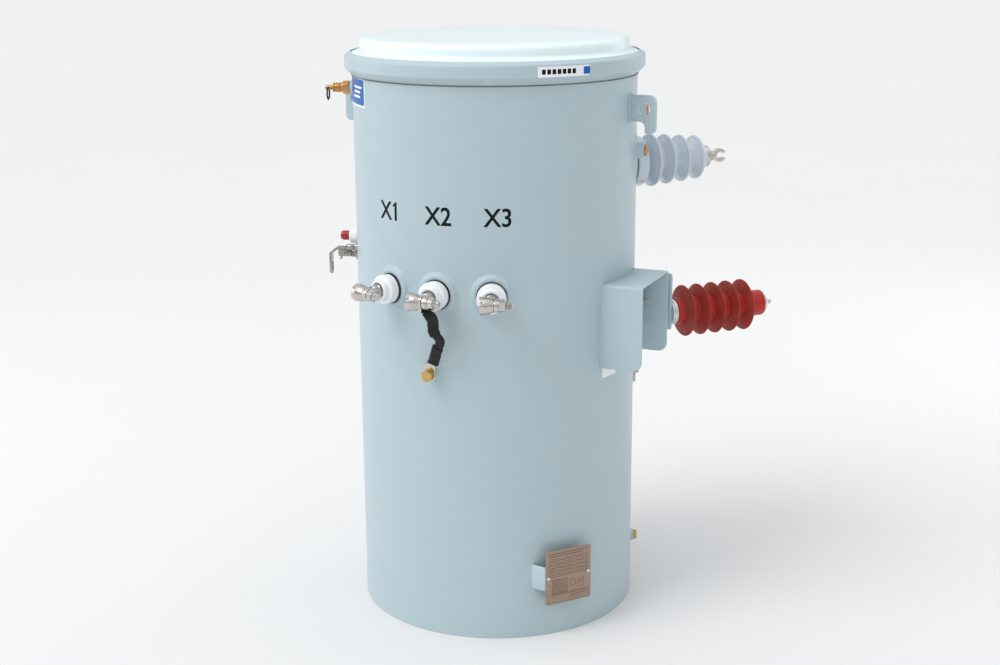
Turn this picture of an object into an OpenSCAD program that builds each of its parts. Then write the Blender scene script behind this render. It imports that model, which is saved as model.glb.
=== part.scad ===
// Pole mounted transformer: round steel tank with a banded cover, three low-voltage bushings on the front,
// one high-voltage bushing, one surge arrester, a switch handle, a relief valve and two pole hangers.
// Origin at the centre of the tank's lower edge, +Z up, the middle low-voltage bushing faces -Y and the
// pole hangers face +Y. Compass angles start at the front (-Y) and grow towards +X.

/* [Tank] */
// Outside diameter of the tank
tank_d = 500; // [440:10:560]
// Height of the tank wall below the cover joint
tank_h = 980; // [900:10:1160]
// Thickness of the tank wall
wall_t = 3; // [2:0.5:5]
// Height of the bottom plate above the tank's lower edge
bottom_gap = 12; // [8:1:30]

/* [Cover] */
// Width of the rolled rim that the band grips
rim_w = 10; // [6:1:12]
// Height of the straight edge of the cover
cover_edge_h = 15; // [12:1:24]
// Width of the sloping shoulder between the cover's edge and its raised top
shoulder_w = 24; // [16:1:40]
// Rise of the sloping shoulder
shoulder_h = 10; // [6:1:16]
// Height of the raised top above the shoulder
crown_h = 21; // [14:1:40]
// Rounding of the raised top's edge
crown_r = 9; // [4:1:12]
// Thickness of the cover sheet
cover_t = 3; // [2:0.5:4]
// Thickness of the cover gasket
cover_gasket_t = 4; // [2:1:8]
// Thickness of the clamp band
band_t = 3; // [2:0.5:5]
// Compass angle of the band's closing bolt
band_bolt_az = -140; // [-150:5:-120]

/* [Low-voltage bushings] */
// Compass angle between neighbouring low-voltage bushings
lv_step = 21.4; // [18:0.1:26]
// Height of the low-voltage bushings
lv_z = 619; // [560:1:660]
// Radius of the pressed pad under each bushing
lv_pad_r = 33; // [30:1:38]
// Height of the pressed pad over the tank wall
lv_pad_h = 6; // [4:1:10]
// Radius of the porcelain's foot
lv_foot_r = 25; // [22:1:28]
// Length of the porcelain's foot
lv_foot_h = 16; // [12:1:22]
// Radius of the porcelain's front lip
lv_lip_r = 19; // [17:1:21]
// Length of the porcelain's front lip
lv_lip_h = 11; // [8:1:16]
// Radius of the terminal's neck
lv_neck_r = 11; // [9:0.5:12]
// Distance of the clamp bolt from the porcelain's face
lv_reach = 29; // [27:1:36]
// Radius of the clamp bolt's shank
clamp_shank_r = 6; // [5:0.5:7]
// Radius of the clamp bolt's cupped head
clamp_head_r = 15; // [12:0.5:16]
// Length of the clamp bolt's cupped head
clamp_head_h = 23; // [18:1:28]

/* [Ground strap] */
// Height of the ground bolt
ground_z = 482; // [440:1:500]
// Compass angle of the ground bolt
ground_az = -2.2; // [-4:0.1:2]
// Width of the sleeved strap
strap_w = 19; // [15:1:24]
// Thickness of the sleeved strap
strap_t = 7; // [5:1:9]

/* [High-voltage bushing] */
// Compass angle of the high-voltage bushing and of the arrester
hv_az = 135; // [130:1:150]
// Height of the high-voltage bushing
hv_z = 790; // [770:1:830]
// Radius of the porcelain's foot ring
hv_foot_r = 47; // [42:1:50]
// Length of the porcelain's foot ring
hv_foot_h = 26; // [20:1:34]
// Radius of the shed next to the foot
hv_shed_r = 48; // [44:1:54]
// How much smaller each following shed is
hv_shed_taper = 2.7; // [0:0.1:4]
// Distance between sheds
hv_shed_pitch = 31; // [26:1:36]
// Radius of the porcelain's core
hv_core_r = 25; // [20:1:30]
// Length of the porcelain beyond the last shed
hv_tip_l = 23; // [14:1:30]

/* [Arrester] */
// Height of the arrester
arrester_z = 494; // [480:1:520]
// Distance of the bracket's outer face from the tank wall
bracket_out = 105; // [95:1:125]
// Radius of the arrester's sheds
arrester_shed_r = 49; // [44:1:56]
// Radius of the arrester's core
arrester_core_r = 25; // [20:1:30]
// Distance between the arrester's sheds
arrester_pitch = 32; // [28:1:36]

/* [Switch hood] */
// Compass angle of the hood
hood_az = 90; // [85:1:95]
// Sideways shift of the hood towards the front
hood_shift = 16; // [0:1:24]
// Width of the hood
hood_w = 148; // [120:1:170]
// Distance of the hood's open edge from the tank wall
hood_out = 57; // [45:1:80]
// Height of the hood's top
hood_top = 621; // [600:1:640]
// Height of the hood's side plates
hood_h = 149; // [120:1:170]
// Thickness of the hood's sheet
hood_t = 3; // [2:0.5:5]
// Rounding of the side plates' lower outer corners
hood_corner_r = 32; // [10:1:45]

/* [Lifting lugs] */
// Distance of the lug's outer edge from the tank wall
lug_out = 47; // [38:1:60]
// Height of the lug's top edge
lug_top = 934; // [900:1:950]
// Height of the lug's welded root
lug_root_h = 45; // [40:1:60]
// Length of the lug's tongue below the root
lug_tongue_h = 20; // [10:1:30]
// Width of the lug's tongue
lug_tongue_w = 19; // [14:1:24]
// Thickness of the lug plate
lug_t = 8; // [6:1:12]
// Radius of the lug's hole
lug_hole_r = 11; // [8:0.5:12]

/* [Relief valve] */
// Compass angle of the relief valve
relief_az = -72; // [-80:1:-60]
// Height of the relief valve
relief_z = 937; // [920:1:945]
// Radius of the relief valve's pull ring
pull_ring_r = 10.5; // [8:0.5:14]

/* [Switch] */
// Compass angle of the signal light and the switch handle
switch_az = -74; // [-85:1:-65]
// Height of the switch shaft
switch_z = 636; // [610:1:650]
// Height of the signal light over the switch shaft
light_rise = 32; // [31:1:40]
// Radius of the switch shaft
switch_shaft_r = 5; // [4:0.5:6]
// Width of the handle's bar
handle_w = 18; // [16:1:24]
// Height of the handle's eye below the shaft
eye_drop = 27; // [24:1:40]
// Sideways place of the reset lever's pin beside the switch shaft
lever_side = 22; // [21:1:28]
// Height of the reset lever's pin over the switch shaft
lever_rise = 15; // [10:1:16]
// Radius of the reset lever's pin
lever_pin_r = 3; // [2.5:0.5:4]

/* [Nameplate] */
// Compass angle of the nameplate
plate_az = 50.3; // [40:0.5:60]
// Height of the nameplate's middle
plate_z = 115; // [90:1:140]
// Width of the nameplate
plate_w = 90; // [80:1:100]
// Height of the nameplate
plate_h = 100; // [70:1:120]

/* [Core and coils] */
// Width of the core and coils inside the tank
core_w = 280; // [200:10:320]
// Depth of the core and coils
core_d = 230; // [160:10:260]
// Height of the core and coils
core_h = 420; // [300:10:480]

/* [Pole hangers] */
// Height of the upper hanger's slot
hanger_top_z = 790; // [760:1:820]
// Distance between the two hangers' slots
hanger_spacing = 285.8; // [240:0.1:340]
// Distance of the hanger's pole face from the tank wall
hanger_out = 56; // [46:1:80]
// Width of the hanger's pole face
hanger_w = 90; // [80:1:120]
// Height of the hanger's pole face
hanger_h = 84; // [76:1:110]
// Thickness of the hanger plate
hanger_t = 6; // [5:1:10]
// Radius of the hanger's slot ends
slot_r = 9; // [8:0.5:11]
// Length of the hanger's slot, end to end
slot_l = 44; // [36:1:56]

/* [Hidden] */

$fn = 64;
tank_r = tank_d / 2;
bracket_reach = tank_r + bracket_out;
hood_reach = tank_r + hood_out;
lug_reach = tank_r + lug_out;
hanger_reach = tank_r + hanger_out;
seam = 0.2;                 // gap left at welded and pressed seams
through = 50;               // extra length of a cutting tool
pin_gap = 0.05;             // clearance around a pin or a shaft in its bore
embed = 2;                  // depth to which round pieces reach behind the wall's tangent plane
rim_r = tank_r + rim_w;
cover_z = tank_h + cover_gasket_t;
band_r = rim_r + seam + band_t;

// Puts a piece on the tank: its own +Z points straight out of the wall, +Y up, +X to the right.
module outward(az, z, reach = tank_r) {
    rotate([0, 0, az])
        translate([0, -reach, z])
            rotate([90, 0, 0])
                children();
}

// Keeps only what lies outside the tank wall.
module off_wall(gap = seam) {
    difference() {
        children();
        cylinder(r = tank_r + gap, h = tank_h * 3, center = true, $fn = 200);
    }
}

module ring(outer_r, inner_r, height) {
    difference() {
        cylinder(r = outer_r, h = height);
        translate([0, 0, -1])
            cylinder(r = inner_r, h = height + 2);
    }
}

// A hexagon prism given by its width across the flats.
module hexagon(across, height) {
    cylinder(r = across / sqrt(3), h = height, $fn = 6);
}

/* ---- tank ---- */

module lv_positions() {
    for (side = [-1, 0, 1])
        outward(side * lv_step, lv_z)
            children();
}

lv_hole_r = lv_neck_r + 8;
hv_pad_r = hv_foot_r + 6;
hv_pad_h = 9;
hv_hole_r = hv_core_r - 3;

module tank_shell() {
    color("#b9cbcd")
    difference() {
        union() {
            rotate_extrude($fn = 200)
                polygon([[0, 0], [tank_r, 0], [tank_r, tank_h - rim_w - 2], [rim_r, tank_h - 2],
                    [rim_r, tank_h], [0, tank_h]]);
            lv_positions()
                translate([0, 0, -lv_pad_h])
                    cylinder(r = lv_pad_r, h = 2 * lv_pad_h);
            outward(hv_az, hv_z)
                translate([0, 0, -hv_pad_h])
                    cylinder(r = hv_pad_r, h = 2 * hv_pad_h);
        }
        translate([0, 0, -1])
            cylinder(r = tank_r - wall_t, h = tank_h + 2, $fn = 200);
        lv_positions()
            translate([0, 0, -through])
                cylinder(r = lv_hole_r, h = 2 * through);
        outward(hv_az, hv_z)
            translate([0, 0, -through])
                cylinder(r = hv_hole_r, h = 2 * through);
    }
}

module tank_bottom() {
    color("#9fb0b3")
    translate([0, 0, bottom_gap])
        cylinder(r = tank_r - wall_t - seam, h = wall_t, $fn = 200);
}

module core_and_coils() {
    color("#6b5a48")
    translate([-core_w / 2, -core_d / 2, bottom_gap + wall_t + seam])
        cube([core_w, core_d, core_h]);
}

// Outline of the cover, shrunk by the sheet's thickness for its inside.
module cover_outline(inset) {
    top_r = rim_r - shoulder_w - inset;
    shoulder_z = cover_edge_h + shoulder_h - inset;
    square([top_r - crown_r, shoulder_z + crown_h]);
    square([top_r, shoulder_z + crown_h - crown_r]);
    translate([top_r - crown_r, shoulder_z + crown_h - crown_r])
        intersection() {
            circle(r = crown_r);
            square(crown_r);
        }
    polygon([[0, -inset], [rim_r - inset, -inset], [rim_r - inset, cover_edge_h - inset],
        [top_r, shoulder_z], [0, shoulder_z]]);
}

module tank_cover() {
    color("#c6d6d8")
    translate([0, 0, cover_z])
        difference() {
            rotate_extrude($fn = 200)
                cover_outline(0);
            rotate_extrude($fn = 200)
                cover_outline(cover_t);
        }
}

module cover_gasket() {
    color("#3a3d3f")
    translate([0, 0, tank_h])
        ring(rim_r, tank_r - wall_t, cover_gasket_t, $fn = 200);
}

band_top = cover_z + cover_edge_h;
band_bottom = tank_h - rim_w - 2;

module cover_band() {
    inner_r = rim_r + seam;
    grip_w = rim_w - 1;
    color("#b9cbcd")
    rotate_extrude($fn = 200)
        polygon([
            [tank_r + seam, band_bottom - band_t], [band_r, tank_h - 3],
            [band_r, band_top - 1], [band_r - 1.5, band_top + 0.5],
            [inner_r - grip_w, band_top + grip_w * shoulder_h / shoulder_w + band_t - 0.5],
            [inner_r - grip_w, band_top + grip_w * shoulder_h / shoulder_w + seam],
            [inner_r, band_top + seam], [inner_r, tank_h - 2 - seam],
            [tank_r + seam, band_bottom - seam * 1.5]]);
}

module cover_band_bolt() {
    ear_w = 16;
    ear_h = band_top - tank_h;
    ear_t = 5;
    lug_gap = 10;
    color("#c9ccce")
    outward(band_bolt_az, (band_top + tank_h) / 2, band_r + seam) {
        for (side = [-1, 1])
            translate([side * (lug_gap / 2 + ear_t / 2) - ear_t / 2, -ear_h / 2, 0])
                cube([ear_t, ear_h, ear_w]);
        translate([-24, 0, ear_w / 2])
            rotate([0, 90, 0]) {
                cylinder(r = 4, h = 48);
                translate([0, 0, 4])
                    hexagon(16, 7);
                translate([0, 0, 37])
                    hexagon(16, 7);
            }
    }
}

/* ---- low-voltage bushings ---- */

lv_gasket_t = 3;
lv_foot_z = lv_pad_h + lv_gasket_t;
lv_face_z = lv_foot_z + lv_foot_h + lv_lip_h;
lv_recess_r = lv_neck_r + 2;
lv_recess_h = 7;
eye_z = lv_face_z + lv_reach;
eye_w = 7;
eye_x = 8.5;
eye_r = clamp_shank_r + 5;

module lv_bushing(side) {
    round_r = 4;
    color("#f1f3f5")
    outward(side * lv_step, lv_z)
        difference() {
            rotate_extrude() {
                translate([0, lv_foot_z])
                    square([lv_foot_r, lv_foot_h - round_r]);
                translate([0, lv_foot_z])
                    square([lv_foot_r - round_r, lv_foot_h]);
                translate([lv_foot_r - round_r, lv_foot_z + lv_foot_h - round_r])
                    circle(r = round_r);
                translate([0, lv_foot_z])
                    square([lv_lip_r, lv_face_z - lv_foot_z - round_r]);
                translate([0, lv_foot_z])
                    square([lv_lip_r - round_r, lv_face_z - lv_foot_z]);
                translate([lv_lip_r - round_r, lv_face_z - round_r])
                    circle(r = round_r);
            }
            translate([0, 0, lv_face_z - lv_recess_h])
                cylinder(r = lv_recess_r, h = lv_recess_h + 1);
        }
}

module lv_gaskets() {
    color("#1d1f21")
    lv_positions()
        translate([0, 0, lv_pad_h])
            ring(lv_foot_r + 3, lv_hole_r, lv_gasket_t);
}

// A round neck that ends in a flat eye, for the clamp bolt that lies across the bushing.
module lv_terminals() {
    foot_z = lv_face_z - lv_recess_h;
    neck_end = eye_z - clamp_head_r - 1;
    color("#cfcac4")
    lv_positions()
        difference() {
            union() {
                translate([0, 0, foot_z])
                    cylinder(r = lv_neck_r, h = neck_end - foot_z);
                translate([eye_x - eye_w / 2, -eye_r + 1, neck_end - 3])
                    cube([eye_w, 2 * eye_r - 2, eye_z - neck_end + 3]);
                translate([eye_x - eye_w / 2, 0, eye_z])
                    rotate([0, 90, 0])
                        cylinder(r = eye_r, h = eye_w);
            }
            translate([-through, 0, eye_z])
                rotate([0, 90, 0])
                    cylinder(r = clamp_shank_r + pin_gap, h = 2 * through);
        }
}

strap_lug_t = 4;
nut_h = 10;
washer_t = 2;
shank_out = 13;
clamp_shank_l = seam + eye_w + washer_t + nut_h + shank_out;

// The clamp bolt: a notched cup for a head on the left, its shank through the eye.
// pull is how far the head stands off the eye, for the strap's lug.
module lv_clamp_bolt(side, pull) {
    notch_w = 5;
    notch_h = 7;
    cup_wall = 4;
    outward(side * lv_step, lv_z)
        translate([eye_x - eye_w / 2 - seam - pull, 0, eye_z])
            rotate([0, -90, 0])
                difference() {
                    union() {
                        cylinder(r1 = clamp_head_r - 3, r2 = clamp_head_r, h = clamp_head_h / 2);
                        translate([0, 0, clamp_head_h / 2])
                            cylinder(r = clamp_head_r, h = clamp_head_h / 2);
                        translate([0, 0, -clamp_shank_l])
                            cylinder(r = clamp_shank_r, h = clamp_shank_l + 1);
                    }
                    translate([0, 0, clamp_head_h - notch_h])
                        cylinder(r = clamp_head_r - cup_wall, h = notch_h + 1);
                    for (turn = [30, 120])
                        rotate([0, 0, turn])
                            translate([-clamp_head_r - 1, -notch_w / 2, clamp_head_h - notch_h])
                                cube([2 * clamp_head_r + 2, notch_w, notch_h + 1]);
                }
}

module lv_clamp_bolts() {
    color("#cfcac4") {
        lv_clamp_bolt(-1, 0);
        lv_clamp_bolt(0, strap_lug_t);
        lv_clamp_bolt(1, 0);
    }
}

module lv_clamp_nuts() {
    color("#c9ccce")
    lv_positions()
        translate([eye_x + eye_w / 2 + seam, 0, eye_z])
            rotate([0, 90, 0])
                difference() {
                    union() {
                        cylinder(r = clamp_shank_r + 5, h = washer_t);
                        translate([0, 0, washer_t])
                            hexagon(19, nut_h - seam);
                    }
                    translate([0, 0, -1])
                        cylinder(r = clamp_shank_r + pin_gap, h = nut_h + washer_t + 2);
                }
}

/* ---- ground strap ---- */

ground_boss_r = 12;
ground_boss_h = 13;
strap_slice = 2;
upper_lug_x = eye_x - eye_w / 2 - seam - strap_lug_t;
upper_lug_end = lv_z - 16;
lower_lug_h = 20;
lower_lug_end = ground_z + lower_lug_h + seam;
// Slices of the strap: sideways, height, distance from the wall, and the turn of its width about the
// upright axis, which is a quarter turn at the upper lug and goes on to half a turn.
strap_route = [
    [upper_lug_x + strap_lug_t / 2, upper_lug_end - 1, eye_z, 90],
    [14, 591, 54, 135],
    [15, 566, 48, 160],
    [23, 550, 40, 170],
    [13, 532, 34, 180],
    [1, 506, 22, 180],
    [-4, lower_lug_end + 1, ground_boss_h + strap_lug_t, 180]];

module strap_slice(place) {
    translate([place[0], place[1], place[2]])
        rotate([0, -place[3], 0])
            cube([strap_w, strap_slice, strap_t], center = true);
}

module ground_strap() {
    color("#1d1c22")
    outward(0, 0)
        for (i = [0 : len(strap_route) - 2])
            hull() {
                strap_slice(strap_route[i]);
                strap_slice(strap_route[i + 1]);
            }
}

module ground_boss() {
    color("#b9cbcd")
    off_wall(0)
        outward(ground_az, ground_z)
            translate([0, 0, -embed])
                cylinder(r = ground_boss_r, h = ground_boss_h + embed);
}

// The strap's two lugs: one on the middle clamp bolt and one under the ground bolt.
module strap_lugs() {
    lug_w = 18;
    foot_w = 23;
    color("#d6cfc6") {
        outward(0, lv_z)
            difference() {
                union() {
                    translate([upper_lug_x, 0, eye_z])
                        rotate([0, 90, 0])
                            cylinder(r = 11, h = strap_lug_t - seam);
                    translate([upper_lug_x, upper_lug_end - lv_z, eye_z - lug_w / 2])
                        cube([strap_lug_t - seam, lv_z - upper_lug_end, lug_w]);
                }
                translate([-through, 0, eye_z])
                    rotate([0, 90, 0])
                        cylinder(r = clamp_shank_r + pin_gap, h = 2 * through);
            }
        outward(ground_az, ground_z)
            translate([0, 0, ground_boss_h]) {
                cylinder(r = foot_w / 2, h = strap_lug_t);
                translate([-foot_w / 2, 0, 0])
                    cube([foot_w, lower_lug_h, strap_lug_t]);
            }
    }
}

module ground_bolt() {
    color("#c8a94e")
    outward(ground_az, ground_z)
        translate([0, 0, ground_boss_h + strap_lug_t]) {
            cylinder(r = 10.5, h = 3);
            translate([0, 0, 3])
                hexagon(19, 8);
        }
}

/* ---- high-voltage bushing ---- */

hv_gasket_t = 4;
hv_foot_z = hv_pad_h + hv_gasket_t;
hv_first_shed = 56;
hv_sheds = 4;
hv_last_shed = hv_first_shed + (hv_sheds - 1) * hv_shed_pitch;
hv_end_z = hv_last_shed + hv_tip_l;

// A shed: a thin skirt whose back face slopes to the core.
module shed(outer_r, core_r, slope, rim_t) {
    rotate_extrude()
        polygon([[0, -slope], [core_r, -slope], [outer_r, 0], [outer_r + 1, rim_t / 2],
            [outer_r, rim_t], [core_r, rim_t + 3], [0, rim_t + 3]]);
}

module hv_bushing() {
    color("#dfe5ec")
    outward(hv_az, hv_z) {
        translate([0, 0, hv_foot_z])
            cylinder(r = hv_foot_r, h = hv_foot_h);
        translate([0, 0, hv_foot_z])
            cylinder(r = hv_core_r, h = hv_last_shed - hv_foot_z);
        translate([0, 0, hv_foot_z])
            cylinder(r = hv_core_r - 3, h = hv_end_z - hv_foot_z);
        for (i = [0 : hv_sheds - 1])
            translate([0, 0, hv_first_shed + i * hv_shed_pitch])
                shed(hv_shed_r - i * hv_shed_taper, hv_core_r, 9, 5);
    }
}

module hv_gasket() {
    color("#1d1f21")
    outward(hv_az, hv_z)
        translate([0, 0, hv_pad_h])
            ring(hv_foot_r - 2, hv_hole_r, hv_gasket_t);
}

hv_cap_h = 16;

module hv_cap() {
    color("#b9b3ab")
    outward(hv_az, hv_z)
        translate([0, 0, hv_end_z])
            cylinder(r1 = hv_core_r - 4, r2 = 9, h = hv_cap_h);
}

module hv_terminal() {
    eye_at = 17;
    jaw_w = 9;
    color("#bdb8b0")
    outward(hv_az, hv_z)
        translate([0, 0, hv_end_z + hv_cap_h])
            difference() {
                union() {
                    cylinder(r = 8, h = 8);
                    translate([-6, 0, eye_at])
                        rotate([0, 90, 0])
                            cylinder(r = 13, h = 12);
                }
                translate([-through, 0, eye_at])
                    rotate([0, 90, 0])
                        cylinder(r = 6.5, h = 2 * through);
                translate([-through, -jaw_w / 2, eye_at])
                    cube([2 * through, jaw_w, through]);
            }
}

/* ---- arrester ---- */

arrester_foot_h = 11;
arrester_sheds = 5;
arrester_first = 31;
arrester_body_h = 190;
arrester_cap_h = 8;
bracket_t = 5;
bracket_w = 34;
bracket_up = 77;
bracket_down = 32;
bracket_side = 14;

module on_bracket() {
    outward(hv_az, arrester_z, bracket_reach)
        children();
}

module arrester_foot() {
    color("#c9ccce")
    on_bracket()
        cylinder(r = arrester_core_r - 1, h = arrester_foot_h);
}

module arrester_body() {
    color("#a83226")
    on_bracket() {
        translate([0, 0, arrester_foot_h])
            cylinder(r = arrester_core_r, h = arrester_body_h);
        for (i = [0 : arrester_sheds - 1])
            translate([0, 0, arrester_first + i * arrester_pitch])
                shed(arrester_shed_r, arrester_core_r, 8, 2.5);
    }
}

module arrester_cap() {
    color("#dcdedf")
    on_bracket()
        translate([0, 0, arrester_foot_h + arrester_body_h]) {
            cylinder(r1 = arrester_core_r - 2, r2 = arrester_core_r - 7, h = arrester_cap_h);
            cylinder(r = 5, h = arrester_cap_h + 19);
            translate([0, 0, arrester_cap_h])
                hexagon(17, 7);
        }
}

module arrester_bracket() {
    arm_h = 84;
    root = tank_r - 20;
    color("#9aabae")
    off_wall()
        outward(hv_az, arrester_z, 0) {
            translate([-bracket_side, -bracket_down, bracket_reach - bracket_t])
                cube([bracket_w, bracket_up + bracket_down, bracket_t]);
            translate([-bracket_side + bracket_w - bracket_t, -bracket_down, root])
                cube([bracket_t, arm_h, bracket_reach - root - bracket_t / 2]);
        }
}

/* ---- switch hood ---- */

// The hood's side plates and top run straight out, parallel to its own compass line.
module hood_blank(inset) {
    x_left = -hood_w / 2 - hood_shift + inset;
    width = hood_w - 2 * inset;
    translate([x_left, -hood_h - 1, 0])
        cube([width, hood_h + 1 - inset, hood_reach + through]);
}

module switch_hood() {
    corner_y = -hood_h + hood_corner_r;
    corner_z = hood_reach - hood_corner_r;
    root = 60;
    color("#b9cbcd")
    off_wall()
        outward(hood_az, hood_top, 0)
            intersection() {
                difference() {
                    hood_blank(0);
                    hood_blank(hood_t);
                }
                translate([-hood_w, 0, 0])
                    rotate([0, 90, 0])
                        linear_extrude(height = 2 * hood_w) {
                            translate([-hood_reach, corner_y])
                                square([hood_reach - root, 1 - corner_y]);
                            translate([-corner_z, -hood_h])
                                square([corner_z - root, hood_h + 1]);
                            translate([-corner_z, corner_y])
                                circle(r = hood_corner_r);
                        }
            }
}

stud_r = 5;

// Each stud: sideways from the hood's middle, down from its top, and out of the wall.
module hood_studs() {
    color("#c9ccce")
    off_wall()
        for (spot = [[51, -53, 30], [42, -83, 22]])
            outward(hood_az, hood_top)
                translate([spot[0] - hood_shift, spot[1], -embed * 3])
                    cylinder(r = stud_r, h = spot[2] + embed * 3);
}

/* ---- lifting lugs ---- */

module lifting_lug(side) {
    edge_r = 10;
    tip_r = 8;
    notch_r = 18;
    root = tank_r - 20;
    root_bottom = lug_top - lug_root_h;
    tongue_bottom = root_bottom - lug_tongue_h;
    tongue_in = lug_reach - lug_tongue_w;
    color("#b4c6c8")
    off_wall()
        rotate([0, 0, side * 90])
            translate([-lug_t / 2, 0, 0])
                rotate([0, 90, 0])
                    rotate([0, 0, 90])
                        linear_extrude(height = lug_t)
                            difference() {
                                union() {
                                    translate([-lug_reach, root_bottom])
                                        square([lug_reach - root, lug_root_h - edge_r]);
                                    translate([-lug_reach + edge_r, root_bottom])
                                        square([lug_reach - root - edge_r, lug_root_h]);
                                    translate([-lug_reach + edge_r, lug_top - edge_r])
                                        circle(r = edge_r);
                                    translate([-lug_reach, tongue_bottom + tip_r])
                                        square([lug_tongue_w, lug_root_h]);
                                    translate([-lug_reach + tip_r, tongue_bottom])
                                        square([lug_tongue_w - tip_r, lug_root_h]);
                                    translate([-lug_reach + tip_r, tongue_bottom + tip_r])
                                        circle(r = tip_r);
                                    translate([-tongue_in, root_bottom - notch_r])
                                        square([notch_r, notch_r + 1]);
                                }
                                translate([-tongue_in + notch_r, root_bottom - notch_r])
                                    circle(r = notch_r);
                                translate([-lug_reach + 21, lug_top - 23])
                                    circle(r = lug_hole_r);
                            }
}

/* ---- small fittings on the right side ---- */

side_plug_r = 14;
side_plug_hex = 17;
side_plug_head = 5;

module side_plugs() {
    color("#b08d4a")
    off_wall()
        for (spot = [[115, 896, 17], [101, 833, 16]])
            outward(spot[0], spot[1])
                translate([0, 0, -embed]) {
                    cylinder(r = side_plug_r, h = spot[2] + embed);
                    hexagon(side_plug_hex, spot[2] + embed + side_plug_head);
                }
}

module side_tab() {
    color("#b4b0a8")
    off_wall()
        outward(116, 410) {
            translate([-12, -16, -embed])
                cube([24, 32, 6 + embed]);
            translate([0, 6, 6])
                hexagon(13, 7);
        }
}

module lower_ground_nut() {
    color("#c8a94e")
    off_wall()
        outward(114, 91)
            translate([0, 0, -embed]) {
                cylinder(r = 11, h = 6 + embed);
                hexagon(16, 13 + embed);
            }
}

/* ---- relief valve ---- */

relief_boss_h = 8;
relief_hex_h = 13;
relief_barrel_h = 18;

module relief_boss() {
    color("#b9cbcd")
    off_wall()
        outward(relief_az, relief_z)
            translate([0, 0, -embed])
                cylinder(r = 13, h = relief_boss_h + embed);
}

ring_eye_z = relief_boss_h + relief_hex_h + relief_barrel_h + 9;
ring_wire_r = 1.5;

module relief_valve() {
    color("#b98a4e")
    outward(relief_az, relief_z)
        difference() {
            union() {
                translate([0, 0, relief_boss_h])
                    hexagon(21, relief_hex_h);
                translate([0, 0, relief_boss_h + relief_hex_h])
                    cylinder(r = 8.5, h = relief_barrel_h);
                translate([0, 0, relief_boss_h + relief_hex_h + relief_barrel_h])
                    cylinder(r = 4, h = ring_eye_z - relief_boss_h - relief_hex_h - relief_barrel_h + 5);
            }
            translate([-through, 0, ring_eye_z])
                rotate([0, 90, 0])
                    cylinder(r = 2.4, h = 2 * through);
        }
}

module relief_ring() {
    color("#4a4a4c")
    outward(relief_az, relief_z)
        translate([0, -pull_ring_r, ring_eye_z])
            rotate_extrude()
                translate([pull_ring_r, 0])
                    circle(r = ring_wire_r, $fn = 24);
}

/* ---- signal light and switch ---- */

light_housing_h = 18;

module light_housing() {
    color("#eef0f2")
    outward(switch_az, switch_z + light_rise) {
        cylinder(r = 14.5, h = light_housing_h);
        cylinder(r = 15.5, h = light_housing_h / 2);
    }
}

module light_lens() {
    lens_r = 8;
    lens_l = 18;
    round_r = 5;
    color("#a01722")
    outward(switch_az, switch_z + light_rise)
        translate([0, 0, light_housing_h])
            rotate_extrude() {
                square([lens_r, lens_l - round_r]);
                square([lens_r - round_r, lens_l]);
                translate([lens_r - round_r, lens_l - round_r])
                    intersection() {
                        circle(r = round_r);
                        square(round_r);
                    }
            }
}

switch_boss_h = 8;
collar_h = 7;
hub_z = switch_boss_h + collar_h + 1;
hub_r = switch_shaft_r + 2.5;
hub_l = 24;
lever_boss_h = 6;
lever_hub_z = lever_boss_h + 2;
lever_bore_l = 7;

// The wall boss with the switch shaft, and beside it the small boss with the reset lever's pin.
module switch_boss() {
    color("#a79f92")
    off_wall()
        outward(switch_az, switch_z) {
            translate([0, 0, -embed]) {
                cylinder(r = 13, h = switch_boss_h + embed);
                cylinder(r = switch_shaft_r + 3.5, h = switch_boss_h + collar_h + embed);
                cylinder(r = switch_shaft_r, h = hub_z + hub_l + 1 + embed);
            }
            translate([lever_side, lever_rise, -embed]) {
                cylinder(r = 6, h = lever_boss_h + embed);
                cylinder(r = lever_pin_r, h = lever_hub_z + lever_bore_l + embed - 0.5);
            }
        }
}

// A bar that lies on the hub, slopes down past its end and hangs as a flat grip with an eye.
module switch_handle() {
    bar_t = 4;
    bar_y = hub_r - 1;
    slope_z = hub_z + hub_l + 3;
    grip_z = slope_z + 14;
    grip_r = handle_w / 2;
    eye_r = handle_w / 3;
    eye_half = 4;
    color("#8f8a85")
    outward(switch_az, switch_z)
        difference() {
            union() {
                translate([0, 0, hub_z])
                    cylinder(r = hub_r, h = hub_l);
                translate([handle_w / 2, 0, 0])
                    rotate([0, -90, 0])
                        linear_extrude(height = handle_w)
                            polygon([[hub_z, bar_y], [hub_z, bar_y + bar_t], [slope_z, bar_y + bar_t],
                                [grip_z, 0], [grip_z, -6], [grip_z - bar_t, -6], [grip_z - bar_t, -2],
                                [slope_z - 1.5, bar_y]]);
                translate([0, 0, grip_z - bar_t])
                    linear_extrude(height = bar_t) {
                        translate([-grip_r, -eye_drop - eye_half])
                            square([handle_w, eye_drop + eye_half - 4]);
                        translate([0, -eye_drop - eye_half])
                            circle(r = grip_r);
                    }
            }
            translate([0, 0, hub_z - 1])
                cylinder(r = switch_shaft_r + pin_gap, h = hub_l + 2);
            translate([0, 0, grip_z - bar_t - 1])
                linear_extrude(height = bar_t + 2) {
                    translate([-eye_r, -eye_drop - eye_half])
                        square([2 * eye_r, 2 * eye_half]);
                    for (end = [-1, 1])
                        translate([0, -eye_drop + end * eye_half])
                            circle(r = eye_r);
                }
        }
}

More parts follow.
